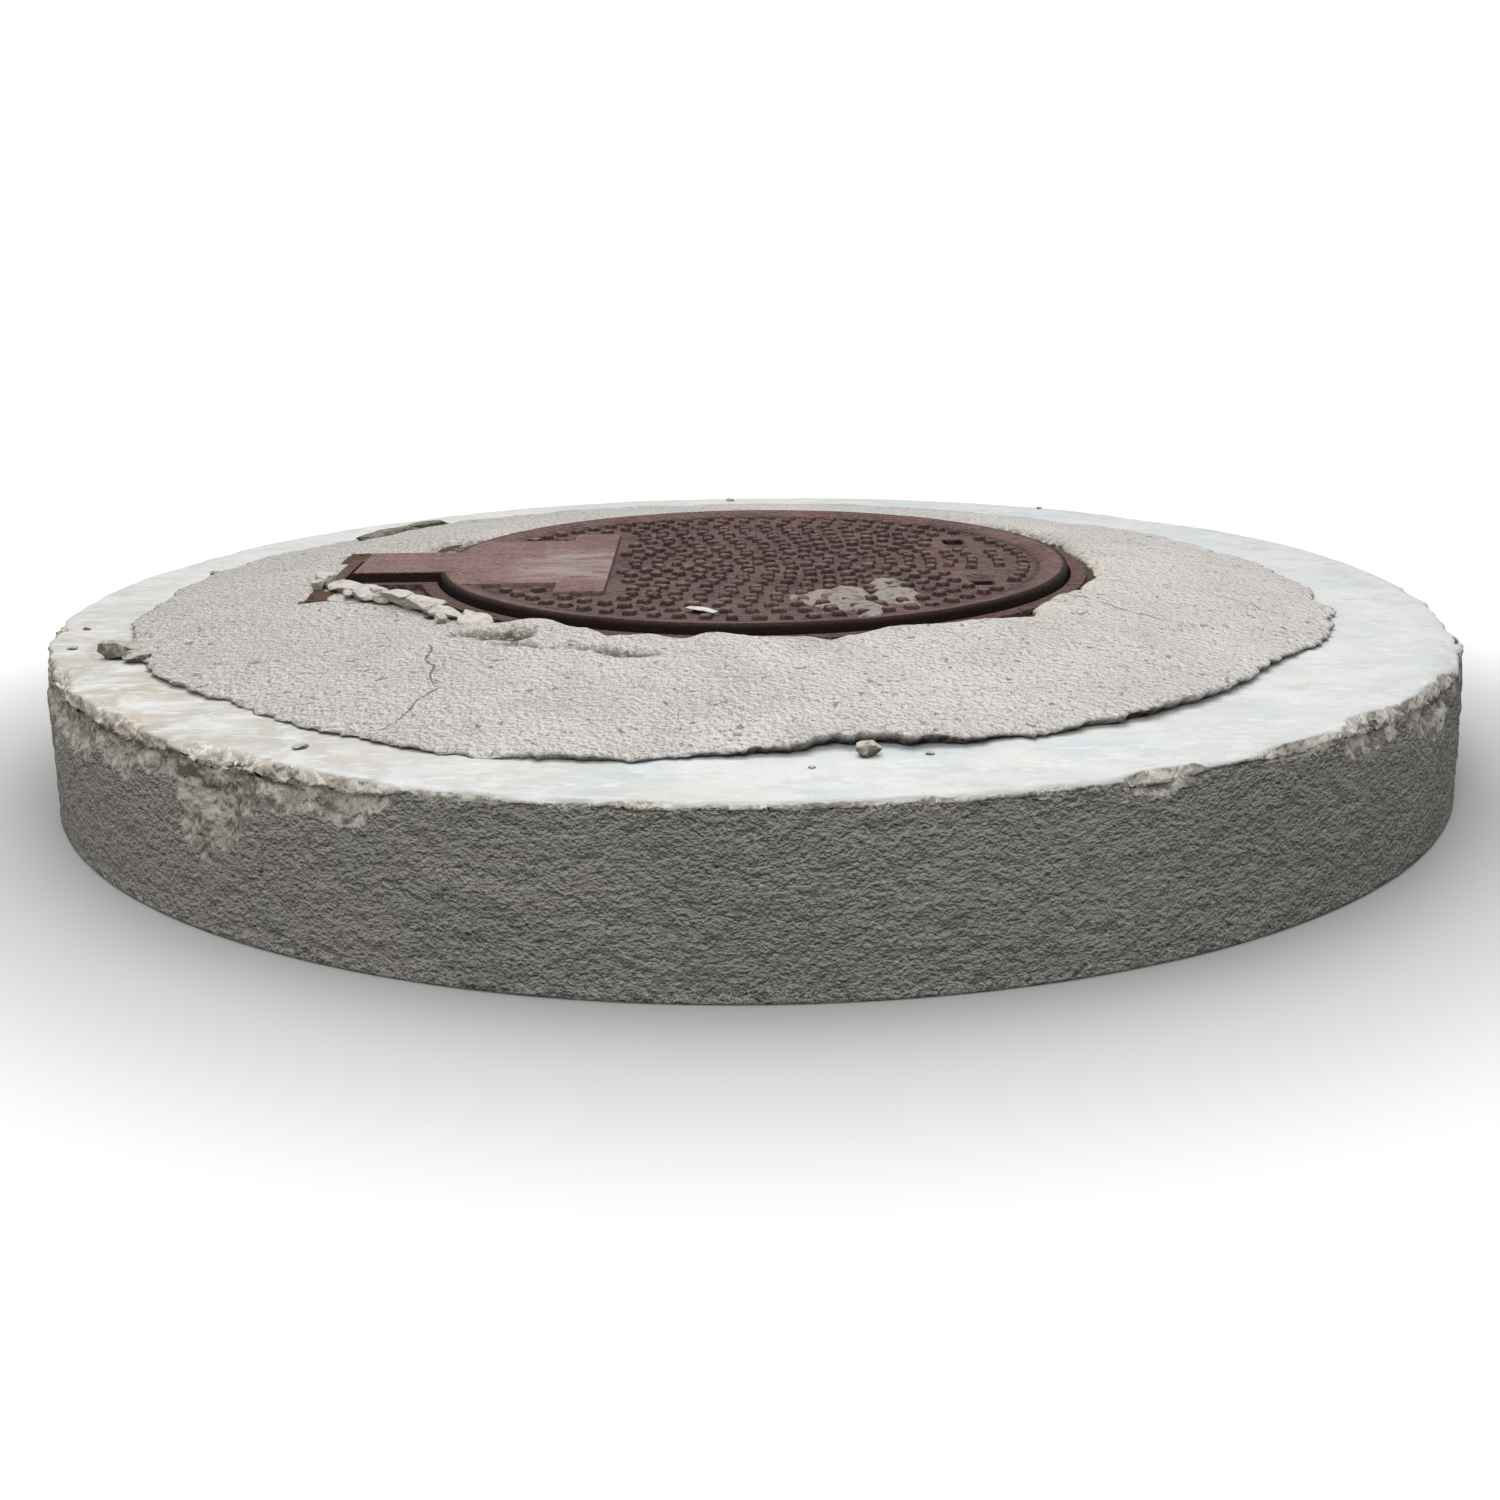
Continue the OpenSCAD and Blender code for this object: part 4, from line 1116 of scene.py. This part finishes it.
def ribs(shells):
    """The ribs under the plate and the ring that ties them."""
    shade = (0.15, 0.45, 0)
    low, high = (8 * MM, -4 * MM, RIB_Z), (SPIGOT_IN + 2 * MM, 4 * MM, PLATE_Z + 2 * MM)
    points, quads = soft_box(low, high, 12 * MM, 1.2 * MM)
    for rib in range(RIBS):
        turn = Matrix.Rotation(math.radians(360 / RIBS * rib), 3, "Z")
        shells.add(points @ np.array(turn).T, [quads], shade)
    columns = 192
    inner, outer = RIB_RING_R - 4 * MM, RIB_RING_R + 4 * MM
    head, foot = PLATE_Z + MM, RIB_Z + 6 * MM
    profile = [(inner, head), (inner, foot + MM), (inner + MM, foot),
               (outer - MM, foot), (outer, foot + MM), (outer, head)]
    shells.add(lathe(profile, columns), tube_quads(len(profile), columns), shade)


def lid_piece():
    """The whole lid casting: disc, smooth plates, arm, ribs, bosses and tread."""
    shells = Shells()
    lid_disc(shells)
    right_a, right_b = -PLATE_A[0], -PLATE_B[0]
    smooth_plate(shells, -0.306, right_a + 2 * MM, PLATE_A[1], LID_TOP - 0.05 * MM, 1.8 * MM, 0.85)
    smooth_plate(shells, right_a - 3 * MM, right_b, PLATE_B[1], LID_TOP - 0.5 * MM, 1.6 * MM, 0.75)
    arm_block(shells)
    ribs(shells)
    for side in (-1, 1):
        pocket_boss(shells, side)
    tread_studs(shells, np.random.default_rng(5))
    shells.piece("lid_casting", "lid", iron, "lid", sharp=50)


# ---------- what lies on the cover ----------

# Lobes of the splash in plan: centre and half size
SPLASH_LOBES = [
    ((0.078, -0.196), (0.034, 0.050)),
    ((0.128, -0.175), (0.022, 0.055)),
    ((0.100, -0.240), (0.016, 0.035)),
]


def splash_piece():
    """A flat splash of mortar over the studs."""
    flat, shape = flat_grid((0.030, 0.165), (-0.285, -0.105), 2 * MM)
    lobes = [np.linalg.norm((flat[:, :2] - centre) / size, axis=1) for centre, size in SPLASH_LOBES]
    thick = 1 - np.minimum.reduce(lobes) + 0.55 * fbm(flat, 0.030, 4, 181)
    body = smooth(0.0, 0.5, thick) * (3.0 + 2.2 * fbm(flat, 0.016, 3, 191))
    height = FIELD_Z + (0.5 + body + 1.4 * smooth(0.3, 0.9, thick)) * MM
    height = np.where(thick > 0.03, np.minimum(height, LID_TOP - 0.3 * MM), FIELD_Z - 1.0 * MM)
    top = at_height(flat, height)
    top[:, :2] += 0.5 * MM * np.stack([fbm(flat, 0.006, 2, 193), fbm(flat + 1, 0.006, 2, 197)], axis=1)
    low = at_height(top, FIELD_Z - 1.6 * MM)

    # Only the quads under mortar stay, with walls where an edge has no neighbour
    quads = grid_quads(*shape, closed=False)
    quads = quads[(thick[quads] > -0.06).all(axis=1)]
    edges = np.concatenate([quads[:, [i, (i + 1) % 4]] for i in range(4)]).tolist()
    known = {tuple(edge) for edge in edges}
    start, end = np.array([edge for edge in edges if (edge[1], edge[0]) not in known]).T
    below = len(top)
    walls = np.stack([end + below, start + below, start, end], axis=1)
    faces = np.concatenate([quads[:, ::-1], quads + below, walls])
    used, faces = np.unique(faces, return_inverse=True)
    shells = Shells()
    shells.add(np.concatenate([top, low])[used], [faces.reshape(-1, 4)])
    shells.piece("lid_mortar_splash", "lid", splash_mortar)


def flake_piece():
    """A curled flake of lime wash lying on the tread."""
    rows, columns = 9, 15
    u, v = np.meshgrid(np.linspace(-1, 1, rows), np.linspace(-1, 1, columns), indexing="ij")
    u, v = u.ravel(), v.ravel()
    x = -0.052 + (13 * v + 2 * u) * MM
    y = -0.253 + (6.5 * u * (1 - 0.55 * v ** 2) - 9 * v) * MM
    z = LID_TOP - (0.35 + 1.6 * smooth(0.2, 1, v)) * MM
    top = np.stack([x, y, z], axis=1)
    top[:, 2] -= 0.12 * MM * (1 + fbm(top, 0.008, 2, 199))
    shells = Shells()
    shells.add_sheet(top, top - np.array([0, 0, 0.9 * MM]), rows, columns)
    shells.piece("lid_lime_flake", "lid", flake_paint)


# Loose stones: place in plan, size in millimetres, seed of the shape, turn
STONES = [
    ((-0.585, -0.244), (40, 24, 19), 1, 20), ((-0.560, -0.262), (28, 19, 14), 2, -15),
    ((-0.570, -0.226), (16, 11, 8), 3, 40), ((0.072, -0.592), (20, 15, 12), 4, 10),
    ((0.118, -0.590), (7, 6, 4), 5, 0), ((-0.640, -0.205), (10, 8, 5), 6, 30),
    ((-0.604, 0.160), (14, 9, 6), 8, 0), ((0.030, -0.620), (6, 5, 3), 9, 0),
    ((-0.352, -0.548), (16, 9, 5), 12, 60), ((0.395, 0.560), (8, 7, 5), 13, 0),
    ((-0.020, 0.668), (12, 8, 5), 14, 15), ((-0.655, -0.120), (9, 7, 4), 15, 0),
]
# The broken length of mortar at the back left, in the same terms
BROKEN_MORTAR = [
    ((-0.440, 0.314), (90, 17, 19), 16, 52),
    ((-0.418, 0.342), (64, 15, 16), 18, 50),
    ((-0.395, 0.372), (90, 16, 17), 17, 51),
]
# Both ends of the run of bedding lumps, beside the hinge box
LUMPS_RUN = np.array([(-0.436, -0.052), (-0.258, -0.252)])


def stone_pieces():
    """Loose stones on the slab, a broken length of mortar and the pale bedding lumps by the hinge box."""
    shells = Shells()
    for place, size, seed, yaw in STONES:
        points, faces = rock(np.array(size) * MM, seed, yaw)
        shells.add(points + np.array([*place, SLAB_H - points[:, 2].min() - 1.5 * MM]), [faces])
    shells.piece("loose_stones", "surround", pebble_stone, sharp=32)

    shells = Shells()
    for place, size, seed, yaw in BROKEN_MORTAR:
        points, faces = rock(np.array(size) * MM, seed, yaw)
        shells.add(points + np.array([*place, SLAB_H + 15 * MM]), [faces])
    shells.piece("broken_mortar", "surround", dark_mortar, sharp=32)

    random = np.random.default_rng(33)
    start, end = LUMPS_RUN
    along = (end - start) / np.linalg.norm(end - start)
    beside = np.array([along[1], -along[0]])
    shells = Shells()
    for number, share in enumerate(np.linspace(0, 1, 19)):
        large = number % 3 == 0
        long = random.uniform(20, 66) if large else random.uniform(10, 28)
        wide = random.uniform(*((0.34, 0.62) if large else (0.6, 0.9))) * long
        thick = min(random.uniform(11, 17), 0.8 * wide)
        across = random.normal(0, 3.5 if large else 8) * MM
        place = start + (end - start) * share + beside * across
        points, faces = rock(np.array([long, wide, thick]) * MM, 40 + number, -50 + random.normal(0, 12))
        points = points + np.array([*place, FLANGE_TOP + (2 + thick / 2) * MM])
        points[:, 2] = np.minimum(points[:, 2], LID_TOP - 1.5 * MM)
        shells.add(points, [faces])
    shells.piece("bedding_lumps", "surround", pale_mortar, sharp=32)


def soil_strip(shells, y_range, seed):
    """A closed sheet of soil lying on the flange beside the hinge box."""
    flat, shape = flat_grid((-0.440, -0.345), y_range, 2.5 * MM)
    crumbs = 1.6 * fbm(flat, 0.03, 3, seed) + 1.0 * np.abs(fbm(flat, 0.008, 3, seed + 5))
    top = at_height(flat, np.minimum(FLANGE_TOP + (1.8 + crumbs) * MM, FRAME_TOP - 1 * MM))
    shells.add_sheet(top, at_height(top, FLANGE_TOP - 1.5 * MM), *shape, turned=True)


def soil_piece():
    """Soil and moss on the flange, round the ring up to the hinge box and on either side of the box."""
    columns, radii = 670, np.linspace(0.3412, 0.3716, 11)
    angle = np.linspace(-167, 167, columns)
    circle = on_circle(angle)
    places = [(0.9, 24, 34), (1.2, 155, 10), (-0.9, -48, 12), (-0.7, -131, 8), (0.3, -112, 10)]
    gathered = bumps(angle, *places)
    rows = []
    for radius in radii:
        row = circle * radius
        amount = 0.35 * fbm(row, 0.05, 3, 211) + gathered + 0.15
        crumbs = 1.2 * fbm(row, 0.010, 3, 223) * smooth(0, 0.4, amount)
        height = FLANGE_TOP + (5.0 * smooth(-0.2, 1.0, amount) + crumbs - 1.2) * MM
        rows.append(at_height(row, np.clip(height, 0, FRAME_TOP - 0.8 * MM)))
    for radius in (radii[-1], radii[0]):
        rows.append(at_height(circle * radius, FLANGE_TOP - 2.5 * MM))
    section = np.arange(len(rows)) * columns
    faces = [block[:, ::-1] for block in tube_quads(len(rows), columns, closed=False)]
    shells = Shells()
    shells.add(np.concatenate(rows), faces + [section[::-1], section + columns - 1])
    # The strips lie between the box's cheeks and the flange's corners
    cheek, corner = 0.0722, 0.127
    soil_strip(shells, (-corner, -cheek), 227)
    soil_strip(shells, (cheek, corner), 229)
    shells.piece("flange_soil", "surround", soil)


# ---------- CAD nodes that keep their shape ----------

NODE_LOOKS = [
    (frame_iron, ["frame"]),
    (bed_mortar, ["mortar_bed", "rebar_spacers"]),
    (rubber, ["seat_gasket"]),
    (plug_plastic, ["lifting_plugs"]),
    (bar_steel, ["rebar_bottom_hoops", "rebar_top_hoops", "rebar_radials", "rebar_links"]),
    (zinc, ["lifting_anchors", "levelling_shims", "anchor_studs", "anchor_washers", "anchor_nuts",
            "hinge_pin", "hinge_roll_pins", "hinge_washers", "key_pans", "key_pan_bolts"]),
]


def dress_nodes():
    """Gives each CAD node that keeps its shape its material."""
    for material, names in NODE_LOOKS:
        for name in names:
            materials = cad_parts[name].data.materials
            materials.clear()
            materials.append(material)


# ---------- floor, light and camera ----------

FLOOR_HALF = 4
# The floor fades out between these distances, so that the backdrop ends the shadow: the grey floor round
# the cover is a painted shadow as well as the cast one
FLOOR_SOLID, FLOOR_GONE = 0.70, 1.06
FLOOR_SHADOW_GREY = 0.435
SKY_STRENGTH = 0.50
BACKDROP_STRENGTH = 1.05
LAMP_TARGET = (0, 0, 0.1)
# Name, place, size across and power of each lamp
LAMPS = [("overhead", (-0.1, 0.1, 3.2), 3.2, 86), ("key", (-0.4, -2.9, 2.4), 1.4, 46)]


def add_object(name, data):
    made = bpy.data.objects.new(name, data)
    bpy.context.scene.collection.objects.link(made)
    return made


def set_stage():
    """Pale grey floor that fades out into the white backdrop as a painted shadow round the cover, a broad
    overhead light and an even sky.
    """
    mesh = bpy.data.meshes.new("floor")
    corners = [(-1, -1), (1, -1), (1, 1), (-1, 1)]
    mesh.from_pydata([(x * FLOOR_HALF, y * FLOOR_HALF, 0) for x, y in corners], [], [(0, 1, 2, 3)])
    floor = add_object("floor", mesh)
    look = Material("floor")
    far = look.make("ShaderNodeVectorMath", "Value", {0: look.place}, operation="LENGTH")
    look.put(look.shader.inputs["Alpha"], look.step(far, FLOOR_GONE, FLOOR_SOLID))
    mesh.materials.append(look.finish((FLOOR_SHADOW_GREY,) * 3, 0.9, specular=0.1))

    world = bpy.data.worlds.new("sky")
    bpy.context.scene.world = world
    world.use_nodes = True
    nodes, links = world.node_tree.nodes, world.node_tree.links
    sky, backdrop = nodes["Background"], nodes.new("ShaderNodeBackground")
    for background, strength in ((sky, SKY_STRENGTH), (backdrop, BACKDROP_STRENGTH)):
        background.inputs["Color"].default_value = (1, 1, 1, 1)
        background.inputs["Strength"].default_value = strength
    choose = nodes.new("ShaderNodeMixShader")
    links.new(nodes.new("ShaderNodeLightPath").outputs["Is Camera Ray"], choose.inputs[0])
    links.new(sky.outputs[0], choose.inputs[1])
    links.new(backdrop.outputs[0], choose.inputs[2])
    links.new(choose.outputs[0], nodes["World Output"].inputs["Surface"])

    for name, place, size, power in LAMPS:
        light = bpy.data.lights.new(name, "AREA")
        light.shape = "DISK"
        light.size = size
        light.energy = power
        lamp = add_object(name, light)
        lamp.location = place
        lamp.rotation_euler = (Vector(LAMP_TARGET) - Vector(place)).to_track_quat("-Z", "Y").to_euler()
    bpy.context.scene.view_settings.view_transform = "Standard"


def set_camera():
    """Camera at the height, distance and tilt that the circles of the slab and lid give."""
    # Angles in radians, and the place from the middle of the slab's top in slab radii
    pitch, yaw, roll = 0.2855, -0.0139, -0.0111
    place = Vector((0, 0, SLAB_H)) + Vector((-0.0455, -2.6634, 0.5416)) * SLAB_R
    right = Vector((math.cos(yaw), math.sin(yaw), 0))
    ahead = Vector((-math.sin(yaw) * math.cos(pitch), math.cos(yaw) * math.cos(pitch), -math.sin(pitch)))
    up = right.cross(ahead)
    rolled_right = right * math.cos(roll) + up * math.sin(roll)
    rolled_up = up * math.cos(roll) - right * math.sin(roll)
    turn = Matrix((rolled_right, rolled_up, -ahead)).transposed()
    data = bpy.data.cameras.new("camera")
    data.sensor_width = 36
    data.angle = math.radians(45)
    data.clip_end = 200
    camera = add_object("camera", data)
    camera.matrix_world = Matrix.Translation(place) @ turn.to_4x4()
    bpy.context.scene.camera = camera


for build in (slab_piece, haunch_piece, lid_piece, splash_piece, flake_piece, stone_pieces, soil_piece,
              dress_nodes, set_stage, set_camera):
    build()
